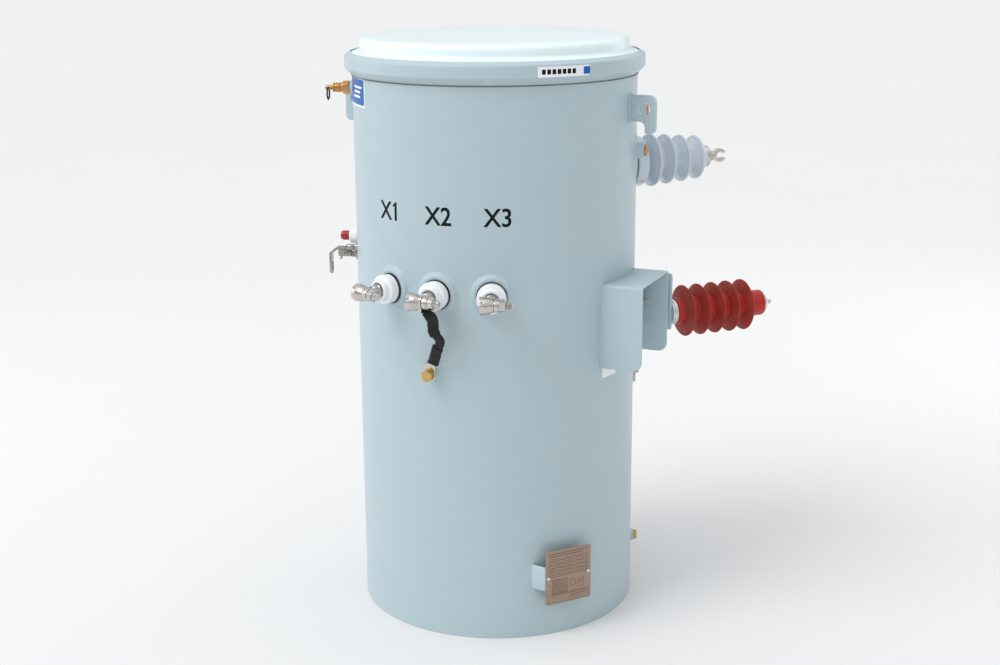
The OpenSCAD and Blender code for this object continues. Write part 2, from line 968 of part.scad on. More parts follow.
// A short hub on its pin, with a blade that curves out and down.
module reset_lever() {
    blade_w = 5;
    blade_z = lever_hub_z + lever_bore_l;
    color("#6d6a72")
    outward(switch_az, switch_z)
        translate([lever_side, lever_rise, 0])
            difference() {
                union() {
                    translate([0, 0, lever_hub_z])
                        cylinder(r = lever_pin_r + 2, h = lever_bore_l + 3);
                    translate([blade_w / 2, 0, blade_z])
                        rotate([0, -90, 0])
                            linear_extrude(height = blade_w)
                                polygon([[0, -4], [0, 4], [4, 4], [11, -3], [19, -23], [15.5, -23],
                                    [7.5, -6], [3, -4]]);
                }
                translate([0, 0, lever_hub_z - 1])
                    cylinder(r = lever_pin_r + pin_gap, h = lever_bore_l + 1);
            }
}

/* ---- nameplate ---- */

// One bent strip: a face behind the plate and two legs that splay out to the wall.
module plate_bracket() {
    face_x = plate_w / 2;
    foot_x = face_x + 17;
    color("#c3d2d6")
    off_wall()
        outward(plate_az, plate_z)
            translate([0, bracket_strip_h / 2, 0])
                rotate([90, 0, 0])
                    linear_extrude(height = bracket_strip_h)
                        polygon([[-foot_x - 0.5, -12], [-face_x - 2, bracket_face_z],
                            [face_x + 2, bracket_face_z], [foot_x + 0.5, -12], [foot_x - 2.5, -12],
                            [face_x + 0.5, bracket_face_z - 2.5], [-face_x - 0.5, bracket_face_z - 2.5],
                            [-foot_x + 2.5, -12]]);
}

bracket_strip_h = 44;
bracket_face_z = 16.8;

module nameplate() {
    color("#8d7a6c")
    outward(plate_az, plate_z)
        translate([-plate_w / 2, -plate_h / 2, bracket_face_z + seam])
            cube([plate_w, plate_h, 1.5]);
}

/* ---- pole hangers ---- */

module hanger(z) {
    half = hanger_w / 2;
    root = tank_r - 20;
    color("#b4c6c8")
    off_wall()
        outward(180, z, 0)
            difference() {
                union() {
                    translate([-half, -hanger_h / 2, hanger_reach - hanger_t])
                        cube([hanger_w, hanger_h, hanger_t]);
                    for (side = [-1, 1])
                        translate([side * (half - hanger_t / 2) - hanger_t / 2, -hanger_h / 2, root])
                            cube([hanger_t, hanger_h, hanger_reach - root - hanger_t / 2]);
                }
                translate([0, 0, hanger_reach - through / 2])
                    linear_extrude(height = through) {
                        translate([-slot_r, -slot_l / 2 + slot_r])
                            square([2 * slot_r, slot_l - 2 * slot_r]);
                        for (end = [-1, 1])
                            translate([0, end * (slot_l / 2 - slot_r)])
                                circle(r = slot_r);
                    }
            }
}

tank_shell();
tank_bottom();
core_and_coils();
tank_cover();
cover_gasket();
cover_band();
cover_band_bolt();
lv_bushing(-1);  // lv_bushing_1
lv_bushing(0);  // lv_bushing_2
lv_bushing(1);  // lv_bushing_3
lv_gaskets();
lv_terminals();
lv_clamp_bolts();
lv_clamp_nuts();
ground_boss();
ground_strap();
strap_lugs();
ground_bolt();
hv_bushing();
hv_gasket();
hv_cap();
hv_terminal();
arrester_body();
arrester_foot();
arrester_cap();
arrester_bracket();
switch_hood();
hood_studs();
lifting_lug(1);  // lifting_lug_right
lifting_lug(-1);  // lifting_lug_left
side_plugs();
side_tab();
lower_ground_nut();
relief_boss();
relief_valve();
relief_ring();
light_housing();
light_lens();
switch_boss();
switch_handle();
reset_lever();
plate_bracket();
nameplate();
hanger(hanger_top_z);  // hanger_upper
hanger(hanger_top_z - hanger_spacing);  // hanger_lower
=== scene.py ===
"""Pole mounted transformer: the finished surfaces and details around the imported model."""

import math

import bmesh
import bpy
from mathutils import Matrix, Vector


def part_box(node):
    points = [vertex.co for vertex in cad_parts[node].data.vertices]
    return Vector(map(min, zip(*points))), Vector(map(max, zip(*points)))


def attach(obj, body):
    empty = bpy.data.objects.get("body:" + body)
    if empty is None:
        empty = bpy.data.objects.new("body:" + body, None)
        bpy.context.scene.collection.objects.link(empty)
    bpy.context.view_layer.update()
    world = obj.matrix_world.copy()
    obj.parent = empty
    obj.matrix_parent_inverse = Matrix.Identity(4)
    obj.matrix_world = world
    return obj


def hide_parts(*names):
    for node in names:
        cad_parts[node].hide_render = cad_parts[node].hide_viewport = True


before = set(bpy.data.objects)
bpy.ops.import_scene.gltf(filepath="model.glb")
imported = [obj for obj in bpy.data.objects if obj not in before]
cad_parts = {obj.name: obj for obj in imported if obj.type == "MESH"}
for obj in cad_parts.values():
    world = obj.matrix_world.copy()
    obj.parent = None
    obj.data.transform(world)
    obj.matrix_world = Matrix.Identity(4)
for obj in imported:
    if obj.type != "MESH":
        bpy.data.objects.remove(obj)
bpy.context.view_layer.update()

bl_info = {
    "name": "Pole Mounted Transformer",
    "version": (1, 0, 0),
    "blender": (4, 5, 0),
    "location": "3D View > Sidebar > Transformer",
    "description": "Builds the finished pieces of a pole mounted transformer around its frame",
    "category": "Object",
}

# All shapes are worked out in millimetres and set in metres as the last step.
TO_METRES = Matrix.Scale(0.001, 4)

# Clear distances between pieces that touch, and between a pin and its hole.
SEAM = 0.2
PIN_GAP = 0.05

# Thicknesses of printed marks and of label film, and the steps of the largest round pieces.
INK = 0.12
PRINT = 0.1
FILM = 0.15
ROUND_STEPS = 256

# Compass angles in degrees, from the front towards the right-hand side.
LV_STEP = 21.4
GROUND_AZ = -2.2
HV_AZ = 135
HOOD_AZ = 90
RELIEF_AZ = -72
SWITCH_AZ = -74
PLATE_AZ = 50.3
BAND_BOLT_AZ = -140
HANGER_AZ = 180
MARK_AZ = (-23.3, 0.5, 23.7)
BAND_LABEL_AZ = 48.5
BAND_SQUARE_AZ = 57.6
SIDE_LABEL_EDGE_AZ = -38.3
SMALL_LABEL_AZ = 74.5

# Heights of what is only printed or stuck on the wall.
MARK_Z = 751
SIDE_LABEL_Z = 941
SMALL_LABEL_Z = 470


def middle(node, axis):
    """The middle of a node along an axis, in millimetres."""
    low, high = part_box(node)
    return (low[axis] + high[axis]) * 500


def low_edge(node, axis):
    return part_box(node)[0][axis] * 1000


def high_edge(node, axis):
    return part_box(node)[1][axis] * 1000


TANK_H = low_edge("cover_gasket", 2)
COVER_Z = high_edge("cover_gasket", 2)
TOP_Z = high_edge("tank_cover", 2)
LV_Z = middle("lv_bushing_2", 2)
GROUND_Z = middle("ground_bolt", 2)
HV_Z = middle("hv_bushing", 2)
ARRESTER_Z = middle("arrester_body", 2)
HOOD_TOP = high_edge("switch_hood", 2)
HOOD_H = HOOD_TOP - low_edge("switch_hood", 2)
HOOD_REACH = high_edge("switch_hood", 0)
LUG_REACH = high_edge("lifting_lug_right", 0)
LUG_TOP = high_edge("lifting_lug_right", 2)
RELIEF_Z = middle("relief_boss", 2)
LIGHT_Z = middle("light_housing", 2)
SWITCH_Z = LIGHT_Z - 32
PLATE_Z = middle("nameplate", 2)
HANGER_REACH = high_edge("hanger_upper", 1)


def srgb(red, green, blue):
    """A screen colour from 0 to 255 as the linear colour that shaders take."""
    def linear(value):
        share = value / 255
        return share / 12.92 if share <= 0.04045 else ((share + 0.055) / 1.055) ** 2.4
    return (linear(red), linear(green), linear(blue), 1.0)


def length_setting(name, description, default):
    return bpy.props.FloatProperty(name=name, description=description, default=default / 1000,
                                   min=0.0, soft_max=1.0, precision=4, unit="LENGTH")


def colour_setting(name, description, default):
    return bpy.props.FloatVectorProperty(name=name, description=description, default=default,
                                         size=4, min=0.0, max=1.0, subtype="COLOR")


class TransformerSizes(bpy.types.PropertyGroup):
    """Sizes of the finished pieces"""
    tank_radius: length_setting("Tank radius", "Outside radius of the tank wall", 250)
    wall: length_setting("Wall", "Thickness of the tank wall", 3)
    edge_round: length_setting("Edge rounding", "Rounding of cut plate edges", 0.6)
    weld_leg: length_setting("Weld", "Leg of the fillet welds", 4)
    thread_pitch: length_setting("Thread pitch", "Distance between thread crests", 1.6)
    mark_height: length_setting("Terminal marks", "Height of the terminal marks", 31)
    plate_corner: length_setting("Plate corners", "Corner rounding of the nameplate", 5)


class TransformerColours(bpy.types.PropertyGroup):
    """Colours of the finished pieces"""
    paint: colour_setting("Tank paint", "Paint of the tank wall and its fittings", srgb(179, 198, 205))
    # The cover's colour is the tank's paint made much lighter: painted light for the top, which faces the
    # lamps.
    cover: colour_setting("Cover paint", "Paint of the cover", srgb(236, 251, 254))
    rubber: colour_setting("Rubber", "Gaskets", srgb(24, 25, 28))
    # A dark line under the clamp band: painted shade where the band's lower edge shades the wall.
    painted_shade_line: colour_setting("Sealant", "Thin seal below the band", srgb(112, 114, 104))
    white_glaze: colour_setting("White glaze", "Low-voltage porcelain", srgb(240, 243, 247))
    grey_glaze: colour_setting("Grey glaze", "High-voltage porcelain", srgb(202, 211, 221))
    tin: colour_setting("Tin", "Tinned terminals", srgb(202, 196, 190))
    zinc: colour_setting("Zinc", "Zinc-plated steel", srgb(170, 171, 172))
    yellow_zinc: colour_setting("Yellow zinc", "Yellow-passivated bolts", srgb(196, 160, 72))
    sleeve: colour_setting("Sleeve", "Shrunk sleeve of the ground strap", srgb(20, 19, 26))
    brass: colour_setting("Brass", "Relief valve and plugs", srgb(186, 134, 78))
    dark_wire: colour_setting("Dark wire", "Pull ring", srgb(66, 64, 66))
    silicone: colour_setting("Silicone", "Core of the arrester", srgb(184, 34, 24))
    shed: colour_setting("Sheds", "Sheds of the arrester", srgb(172, 58, 48))
    aluminium: colour_setting("Aluminium", "End fittings of the arrester", srgb(222, 224, 226))
    white_plastic: colour_setting("White plastic", "Housing of the signal light", srgb(236, 239, 244))
    lens: colour_setting("Lens", "Lens of the signal light", srgb(168, 8, 22))
    switch_metal: colour_setting("Switch metal", "Switch handle and boss", srgb(156, 151, 146))
    plate: colour_setting("Nameplate", "Etched nameplate", srgb(164, 140, 122))
    etching: colour_setting("Etching", "Etched lines of the nameplate", srgb(92, 70, 60))
    label_white: colour_setting("White label", "Plain white label", srgb(242, 243, 246))
    label_blue: colour_setting("Blue label", "Plain blue label", srgb(8, 98, 176))
    ink: colour_setting("Ink", "Terminal marks", srgb(14, 16, 20))
    floor: colour_setting("Floor", "Plain pale floor", (0.76, 0.76, 0.76, 1.0))


def sizes():
    return bpy.context.scene.transformer_sizes


def colours():
    return bpy.context.scene.transformer_colours


def mm(name):
    """A size setting in millimetres."""
    return getattr(sizes(), name) * 1000


# ---- places ----

def outward(az, z, reach=None):
    """Local +Z points straight out of the wall, +Y up and +X to the right."""
    distance = mm("tank_radius") if reach is None else reach
    return (Matrix.Rotation(math.radians(az), 4, "Z")
            @ Matrix.Translation((0, -distance, z))
            @ Matrix.Rotation(math.radians(90), 4, "X"))


def wall_drop(x):
    """How far the wall falls back at a distance x beside its nearest line."""
    radius = mm("tank_radius")
    return math.sqrt(radius ** 2 - x ** 2) - radius


def move(x=0, y=0, z=0):
    return Matrix.Translation((x, y, z))


def turn(degrees, axis):
    return Matrix.Rotation(math.radians(degrees), 4, axis)


ALONG_X = turn(90, "Y")
FLIP_Z = Matrix.Scale(-1, 4, (0, 0, 1))


# ---- shapes ----

def rounded(corners, segments=5, closed=True):
    """Corners (x, y, rounding) as plain points, with an arc at each corner that has a rounding."""
    points = []
    count = len(corners)
    for i, corner in enumerate(corners):
        here = Vector(corner[:2])
        radius = corner[2] if len(corner) > 2 else 0
        if not radius or (not closed and i in (0, count - 1)):
            points.append(here)
            continue
        to_last = Vector(corners[i - 1][:2]) - here
        to_next = Vector(corners[(i + 1) % count][:2]) - here
        half = to_last.angle(to_next) / 2
        cut = min(radius / math.tan(half), to_last.length / 2, to_next.length / 2)
        radius = cut * math.tan(half)
        centre = here + (to_last.normalized() + to_next.normalized()).normalized() * (radius / math.sin(half))
        start = here + to_last.normalized() * cut - centre
        end = here + to_next.normalized() * cut - centre
        first = math.atan2(start.y, start.x)
        sweep = (math.atan2(end.y, end.x) - first + math.pi) % math.tau - math.pi
        for k in range(segments + 1):
            angle = first + sweep * k / segments
            points.append(centre + Vector((math.cos(angle), math.sin(angle))) * radius)
    kept = [p for i, p in enumerate(points) if i == 0 or (p - points[i - 1]).length > 1e-4]
    if closed and (kept[0] - kept[-1]).length <= 1e-4:
        kept.pop()
    return kept


def circle(radius, x=0, y=0):
    """A circle as four corners that are rounded away."""
    return [(x - radius, y - radius, radius), (x + radius, y - radius, radius),
            (x + radius, y + radius, radius), (x - radius, y + radius, radius)]


def box_outline(width, height, rounding=0, x=0, y=0):
    half_w, half_h = width / 2, height / 2
    return [(x - half_w, y - half_h, rounding), (x + half_w, y - half_h, rounding),
            (x + half_w, y + half_h, rounding), (x - half_w, y + half_h, rounding)]


def new_verts(grown):
    """The vertices that an extrusion returned."""
    return [v for v in grown["geom"] if isinstance(v, bmesh.types.BMVert)]


def thicken(bm, faces, height):
    """Raises faces along local Z, with walls below them."""
    grown = bmesh.ops.extrude_face_region(bm, geom=faces)
    bmesh.ops.translate(bm, verts=new_verts(grown), vec=(0, 0, height))
    bmesh.ops.recalc_face_normals(bm, faces=bm.faces)


def lathe(profile, steps=72, closed=False, sweep=360, segments=5):
    """Spins a profile of (radius, height, rounding) corners about the local Z axis."""
    bm = bmesh.new()
    verts = [bm.verts.new((p.x, 0, p.y)) for p in rounded(profile, segments, closed)]
    edges = [bm.edges.new(pair) for pair in zip(verts, verts[1:])]
    if closed:
        edges.append(bm.edges.new((verts[-1], verts[0])))
    whole = sweep == 360
    bmesh.ops.spin(bm, geom=verts + edges, cent=(0, 0, 0), axis=(0, 0, 1), dvec=(0, 0, 0),
                   angle=math.radians(sweep), steps=steps, use_merge=whole, use_duplicate=False)
    bmesh.ops.remove_doubles(bm, verts=bm.verts, dist=1e-3)
    if not whole:
        bmesh.ops.holes_fill(bm, edges=bm.edges, sides=0)
    bmesh.ops.recalc_face_normals(bm, faces=bm.faces)
    return bm


def bevel_sharp(bm, width, limit=30, segments=2):
    """Rounds every edge whose faces meet at more than the limit."""
    sharp = [e for e in bm.edges if e.is_manifold and e.calc_face_angle(0) > math.radians(limit)]
    bmesh.ops.bevel(bm, geom=sharp, offset=width, offset_type="OFFSET", segments=segments, profile=0.5,
                    affect="EDGES", material=-1, clamp_overlap=True)
    return bm


def plate(outline, thickness, holes=(), edge=0.6, segments=6):
    """A flat plate in the local XY plane, from z = 0 up to its thickness."""
    bm = bmesh.new()
    for loop in (outline, *holes):
        verts = [bm.verts.new((p.x, p.y, 0)) for p in rounded(loop, segments)]
        for i, vert in enumerate(verts):
            bm.edges.new((verts[i - 1], vert))
    if holes:
        bmesh.ops.triangle_fill(bm, use_beauty=True, use_dissolve=False, edges=bm.edges)
    else:
        bm.faces.new(bm.verts)
    thicken(bm, bm.faces[:], thickness)
    if edge:
        bevel_sharp(bm, edge)
    return bm


def block(width, depth, height, edge=0.6):
    """A block that is centred on the local axes and stands on z = 0."""
    return plate(box_outline(width, depth), height, edge=edge)


def sweep(stations, section):
    """Carries a closed outline along the stations and closes both ends."""
    bm = bmesh.new()
    cap = bm.faces.new([bm.verts.new((p.x, p.y, 0)) for p in section])
    bm.transform(stations[0])
    for last, station in zip(stations, stations[1:]):
        grown = bmesh.ops.extrude_face_region(bm, geom=[cap])
        cap = next(f for f in grown["geom"] if isinstance(f, bmesh.types.BMFace))
        bmesh.ops.transform(bm, matrix=station @ last.inverted(), verts=new_verts(grown), space=Matrix())
    bmesh.ops.recalc_face_normals(bm, faces=bm.faces)
    return bm


def hexagon(across, height, edge=0.7):
    """A hexagon prism with eased edges, given by its width across the flats."""
    bm = bmesh.new()
    bmesh.ops.create_cone(bm, cap_ends=True, cap_tris=False, segments=6, radius1=across / math.sqrt(3),
                          radius2=across / math.sqrt(3), depth=height, matrix=move(z=height / 2))
    return bevel_sharp(bm, edge, segments=3)


def rod(radius, bottom, top, steps=32):
    """A plain round rod along local Z."""
    return lathe([(0, bottom), (radius, bottom), (radius, top), (0, top)], steps)


def threaded(radius, length, tip=1.0):
    """A threaded rod from z = 0 up, with a chamfered end."""
    pitch = mm("thread_pitch")
    depth = pitch * 0.45
    profile = [(0, 0), (radius - depth, 0)]
    for i in range(int((length - tip) / pitch)):
        profile += [(radius, (i + 0.5) * pitch), (radius - depth, (i + 1) * pitch)]
    profile += [(radius - depth, length - tip), (radius - depth - tip, length), (0, length)]
    return lathe(profile, 32)


def washer(outer, inner, thickness):
    return lathe([(inner, 0, 0.2), (outer, 0, 0.3), (outer, thickness, 0.4), (inner, thickness, 0.2)],
                 48, closed=True, segments=2)


def nut(across, height, bore):
    """A hexagon nut with a plain round hole."""
    bm = hexagon(across, height)
    ring = lathe([(bore, -1, 0), (bore, height + 1, 0), (0, height + 1, 0), (0, -1, 0)], 32)
    return carve(bm, ring)


def carve(bm, cutter):
    """Cuts one solid out of another."""
    names = ("carved", "cutter")
    meshes = [bpy.data.meshes.new(name) for name in names]
    for mesh, source in zip(meshes, (bm, cutter)):
        source.to_mesh(mesh)
        source.free()
    objects = [bpy.data.objects.new(mesh.name, mesh) for mesh in meshes]
    for obj in objects:
        bpy.context.scene.collection.objects.link(obj)
    boolean = objects[0].modifiers.new("cut", "BOOLEAN")
    boolean.operation = "DIFFERENCE"
    boolean.solver = "EXACT"
    boolean.object = objects[1]
    result = bmesh.new()
    result.from_object(objects[0], bpy.context.evaluated_depsgraph_get())
    for obj, mesh in zip(objects, meshes):
        bpy.data.objects.remove(obj)
        bpy.data.meshes.remove(mesh)
    bmesh.ops.remove_doubles(result, verts=result.verts, dist=1e-3)
    return result


def carve_wall(bm, gap=SEAM):
    """Cuts away what lies inside the tank."""
    radius = mm("tank_radius") + gap
    return carve(bm, rod(radius, -50, TOP_Z + 50, 192))


def put(target, part, matrix=None):
    """Adds a shape to another one, at its place."""
    if matrix is not None:
        part.transform(matrix)
    mesh = bpy.data.meshes.new("part")
    part.to_mesh(mesh)
    part.free()
    target.from_mesh(mesh)
    bpy.data.meshes.remove(mesh)
    return target


def together(*parts):
    """Several shapes in one mesh, each by itself or as a (shape, matrix) pair."""
    whole = bmesh.new()
    for part in parts:
        put(whole, *(part if isinstance(part, tuple) else (part,)))
    return whole


def drape(bm, inner, outer):
    """Lets a round boss run down onto the curved wall between two radii."""
    for vert in bm.verts:
        reach = math.hypot(vert.co.x, vert.co.y)
        share = min(max((reach - inner) / (outer - inner), 0), 1)
        vert.co.z += share * wall_drop(vert.co.x)
    return bm


def wrap(bm, az, z, reach, step=4):
    """Bends a flat shape round the tank, with cuts close enough to look round."""
    spread = [v.co.x for v in bm.verts]
    for k in range(math.ceil(min(spread) / step), math.floor(max(spread) / step) + 1):
        bmesh.ops.bisect_plane(bm, geom=bm.verts[:] + bm.edges[:] + bm.faces[:], dist=1e-4,
                               plane_co=(k * step, 0, 0), plane_no=(1, 0, 0))
    for vert in bm.verts:
        angle = math.radians(az) + vert.co.x / reach
        radius = reach + vert.co.z
        vert.co = (math.sin(angle) * radius, -math.cos(angle) * radius, z + vert.co.y)
    return bm


def weld_ring(radius, leg):
    """A fillet weld round a boss on the wall."""
    ring = lathe([(radius - 1, -2), (radius + leg, -1), (radius + leg * 0.5, leg * 0.5), (radius - 0.2, leg),
                  (radius - 1, leg)], 48, closed=True)
    return drape(ring, -1, 0)


def weld_line(start, end, leg):
    """A straight weld bead between two points, slightly uneven along its length."""
    along = Vector(end) - Vector(start)
    count = max(int(along.length / 2.5), 4)
    facing = along.to_track_quat("Z", "Y").to_matrix().to_4x4()
    stations = []
    for i in range(count + 1):
        share = i / count
        swell = 0.9 + 0.1 * math.sin(i * 2.1) if 0 < i < count else 0.45
        stations.append(Matrix.Translation(Vector(start) + along * share) @ facing @ Matrix.Scale(swell, 4))
    return sweep(stations, rounded(circle(leg * 0.6), 3))


def wall_weld(x, bottom, top, leg, lift=0.6):
    """An upright weld bead on the wall, at a distance x beside a fitting's middle."""
    out = wall_drop(x) + lift
    return weld_line((x, bottom, out), (x, top, out), leg)


# ---- finishes ----

def add_node(tree, kind, **inputs):
    node = tree.nodes.new(kind)
    for name, value in inputs.items():
        node.inputs[name].default_value = value
    return node


def mixed_colour(tree, factor, first, second):
    """Mixes two colours or colour sockets by a factor socket."""
    node = tree.nodes.new("ShaderNodeMix")
    node.data_type = "RGBA"
    tree.links.new(factor, node.inputs["Factor"])
    for socket, value in ((node.inputs[6], first), (node.inputs[7], second)):
        if isinstance(value, bpy.types.NodeSocket):
            tree.links.new(value, socket)
        else:
            socket.default_value = value
    return node.outputs[2]


def noise(tree, coordinates, scale, detail=3.0, rough=0.55):
    node = add_node(tree, "ShaderNodeTexNoise", Scale=scale, Detail=detail, Roughness=rough)
    tree.links.new(coordinates, node.inputs["Vector"])
    return node.outputs["Fac"]


def ranged(tree, value, low_in, high_in, low_out, high_out):
    node = tree.nodes.new("ShaderNodeMapRange")
    for socket, number in zip(node.inputs[1:5], (low_in, high_in, low_out, high_out)):
        socket.default_value = number
    tree.links.new(value, node.inputs["Value"])
    return node.outputs["Result"]


def toned(colour, factor):
    return tuple(min(c * factor, 1.0) for c in colour[:3]) + (1.0,)


def finish(name, colour, rough, metallic=0.0, mottle=0.05, patch=7.0, grain=420.0, grain_depth=0.02,
           stretch=(1, 1, 1), coat=0.0, wear=0.0, wear_colour=(0.9, 0.9, 0.9, 1), dust=0.0, speck=0.0,
           light_through=0.0, shine=0.5):
    """A finish with mottled colour, uneven gloss, fine relief, worn edges and a little dust."""
    name += "_finish"
    made = bpy.data.materials.get(name)
    if made:
        return made
    made = bpy.data.materials.new(name)
    made.use_nodes = True
    tree = made.node_tree
    shader = tree.nodes["Principled BSDF"]
    place = tree.nodes.new("ShaderNodeTexCoord").outputs["Object"]
    stretched = tree.nodes.new("ShaderNodeMapping")
    stretched.inputs["Scale"].default_value = stretch
    tree.links.new(place, stretched.inputs["Vector"])
    fine = noise(tree, stretched.outputs["Vector"], grain, 4.0)
    cloud = noise(tree, place, patch, 4.0, 0.6)
    tone = mixed_colour(tree, ranged(tree, cloud, 0.3, 0.7, 0, 1),
                        toned(colour, 1 - mottle), toned(colour, 1 + mottle))
    if speck:
        spots = noise(tree, place, 900.0, 1.0)
        tone = mixed_colour(tree, ranged(tree, spots, 0.7, 0.78, 0, speck), tone, toned(colour, 0.55))
    if dust:
        smudge = noise(tree, place, 38.0, 6.0, 0.65)
        tone = mixed_colour(tree, ranged(tree, smudge, 0.45, 0.75, 0, dust), tone, (0.33, 0.31, 0.28, 1))
    if wear:
        geometry = tree.nodes.new("ShaderNodeNewGeometry")
        edge = ranged(tree, geometry.outputs["Pointiness"], 0.515, 0.6, 0, wear)
        tone = mixed_colour(tree, edge, tone, wear_colour)
    tree.links.new(tone, shader.inputs["Base Color"])
    tree.links.new(ranged(tree, fine, 0.3, 0.7, rough[0], rough[1]), shader.inputs["Roughness"])
    for socket, value in (("Metallic", metallic), ("Specular IOR Level", shine), ("Coat Weight", coat),
                          ("Coat Roughness", 0.08)):
        shader.inputs[socket].default_value = value
    if light_through:
        shader.inputs["Subsurface Weight"].default_value = light_through
        shader.inputs["Subsurface Scale"].default_value = 0.004
        shader.inputs["Subsurface Radius"].default_value = (1.0, 0.6, 0.5)
    bump = tree.nodes.new("ShaderNodeBump")
    bump.inputs["Strength"].default_value = min(grain_depth * 10, 1.0)
    bump.inputs["Distance"].default_value = 0.0002
    tree.links.new(fine, bump.inputs["Height"])
    tree.links.new(bump.outputs["Normal"], shader.inputs["Normal"])
    return made


def paint():
    return finish("tank_paint", colours().paint, (0.3, 0.42), mottle=0.018, patch=3.0, grain=330.0,
                  grain_depth=0.012, coat=0.04, wear=0.25, wear_colour=toned(colours().paint, 1.25),
                  dust=0.03, shine=0.35)


# The cover is the tank's paint lightened, as painted light on the top.
def cover_paint():
    return finish("cover_paint", colours().cover, (0.26, 0.38), mottle=0.018, patch=3.0, grain=330.0,
                  grain_depth=0.012, coat=0.2, wear=0.25, wear_colour=toned(colours().cover, 1.2), dust=0.03)


def rubber():
    return finish("gasket_rubber", colours().rubber, (0.6, 0.85), mottle=0.15, patch=40.0, grain=900.0,
                  grain_depth=0.03, dust=0.15, shine=0.2)


# Finish of the dark ring under the clamp band, which is painted shade.
def painted_shade_line():
    return finish("band_painted_shade_line", colours().painted_shade_line, (0.6, 0.8), mottle=0.12, patch=30.0, grain=600.0,
                  shine=0.2)


def white_porcelain():
    return finish("white_porcelain", colours().white_glaze, (0.06, 0.14), mottle=0.01, patch=20.0,
                  grain=160.0, grain_depth=0.006, coat=0.6, speck=0.12, light_through=0.05)


def grey_porcelain():
    return finish("grey_porcelain", colours().grey_glaze, (0.07, 0.16), mottle=0.03, patch=26.0,
                  grain=150.0, grain_depth=0.008, coat=0.6, speck=0.2, light_through=0.04)


def tinned():
    return finish("tinned_metal", colours().tin, (0.1, 0.24), metallic=1.0, mottle=0.08, patch=90.0,
                  grain=700.0, grain_depth=0.025, wear=0.3, wear_colour=(0.95, 0.93, 0.9, 1), dust=0.1)


def zinc():
    return finish("zinc_steel", colours().zinc, (0.25, 0.45), metallic=1.0, mottle=0.1, patch=120.0,
                  grain=800.0, grain_depth=0.02, wear=0.3, dust=0.15)


def yellow_zinc():
    return finish("yellow_zinc", colours().yellow_zinc, (0.22, 0.42), metallic=1.0, mottle=0.16, patch=110.0,
                  grain=700.0, grain_depth=0.02, wear=0.3, wear_colour=(0.95, 0.9, 0.7, 1), dust=0.12)


def sleeve():
    return finish("strap_sleeve", colours().sleeve, (0.35, 0.55), mottle=0.2, patch=60.0, grain=300.0,
                  grain_depth=0.05, dust=0.04, shine=0.3)


def brass():
    return finish("brass_fitting", colours().brass, (0.2, 0.38), metallic=1.0, mottle=0.12, patch=110.0,
                  grain=600.0, grain_depth=0.02, wear=0.3, wear_colour=(0.98, 0.85, 0.6, 1), dust=0.12)


def dark_wire():
    return finish("dark_wire", colours().dark_wire, (0.3, 0.5), metallic=1.0, mottle=0.15, patch=150.0,
                  grain=900.0, grain_depth=0.03, dust=0.1)


def silicone():
    return finish("red_silicone", colours().silicone, (0.26, 0.42), mottle=0.08, patch=40.0, grain=260.0,
                  grain_depth=0.03, dust=0.1, light_through=0.04, shine=0.4)


def shed_silicone():
    return finish("shed_silicone", colours().shed, (0.5, 0.7), mottle=0.08, patch=36.0, grain=260.0,
                  grain_depth=0.03, dust=0.14, light_through=0.06, shine=0.3)


def aluminium():
    return finish("cast_aluminium", colours().aluminium, (0.25, 0.42), metallic=1.0, mottle=0.06, patch=80.0,
                  grain=900.0, grain_depth=0.03, wear=0.2, dust=0.08)


def white_plastic():
    return finish("white_plastic", colours().white_plastic, (0.25, 0.38), mottle=0.015, patch=30.0,
                  grain=700.0, grain_depth=0.01, coat=0.2, dust=0.04)


def red_lens():
    return finish("red_lens", colours().lens, (0.12, 0.24), mottle=0.08, patch=90.0, grain=300.0,
                  grain_depth=0.01, coat=0.5, light_through=0.05, shine=0.4)


def switch_metal():
    return finish("switch_metal", colours().switch_metal, (0.16, 0.36), metallic=1.0, mottle=0.14, patch=90.0,
                  grain=500.0, grain_depth=0.03, wear=0.3, dust=0.2)


def plate_metal():
    return finish("etched_plate", colours().plate, (0.28, 0.45), metallic=0.4, mottle=0.06, patch=20.0,
                  grain=900.0, grain_depth=0.02, stretch=(0.12, 0.12, 1), dust=0.06)


def etching():
    return finish("plate_etching", colours().etching, (0.5, 0.7), mottle=0.15, patch=60.0, grain=900.0)


def label_white():
    return finish("label_white", colours().label_white, (0.3, 0.45), mottle=0.015, patch=40.0, grain=700.0,
                  grain_depth=0.008, dust=0.03)


def label_blue():
    return finish("label_blue", colours().label_blue, (0.28, 0.42), mottle=0.04, patch=30.0, grain=700.0,
                  grain_depth=0.008, shine=0.25)


def ink():
    return finish("marking_ink", colours().ink, (0.4, 0.6), mottle=0.15, patch=60.0, grain=500.0,
                  grain_depth=0.01, shine=0.15)


def core_steel():
    return finish("core_steel", (0.12, 0.09, 0.07, 1), (0.5, 0.7), mottle=0.15, patch=20.0)


def piece(name, bm, material, matrix=None, body="tank", replaces=(), smooth=34):
    """Turns a shape into a finished piece at its place, riding on its body."""
    bm.transform(TO_METRES @ (matrix or Matrix()))
    mesh = bpy.data.meshes.new(name)
    bm.to_mesh(mesh)
    bm.free()
    mesh.polygons.foreach_set("use_smooth", [True] * len(mesh.polygons))
    mesh.set_sharp_from_angle(angle=math.radians(smooth))
    mesh.materials.append(material)
    obj = bpy.data.objects.new(name, mesh)
    bpy.context.scene.collection.objects.link(obj)
    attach(obj, body)
    if replaces:
        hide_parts(*replaces)
    return obj


def painted(name, bm, matrix=None, replaces=()):
    """A finished piece in the tank's own paint."""
    return piece(name, bm, paint(), matrix, replaces=replaces)


def keep(node, material):
    """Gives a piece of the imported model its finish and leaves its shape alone."""
    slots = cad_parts[node].material_slots
    if slots:
        for spot in slots:
            spot.material = material
    else:
        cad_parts[node].data.materials.append(material)


class Maker:
    """Runs one build step from the panel or the main function"""
    bl_options = {"REGISTER", "UNDO"}

    def execute(self, context):
        self.build()
        return {"FINISHED"}


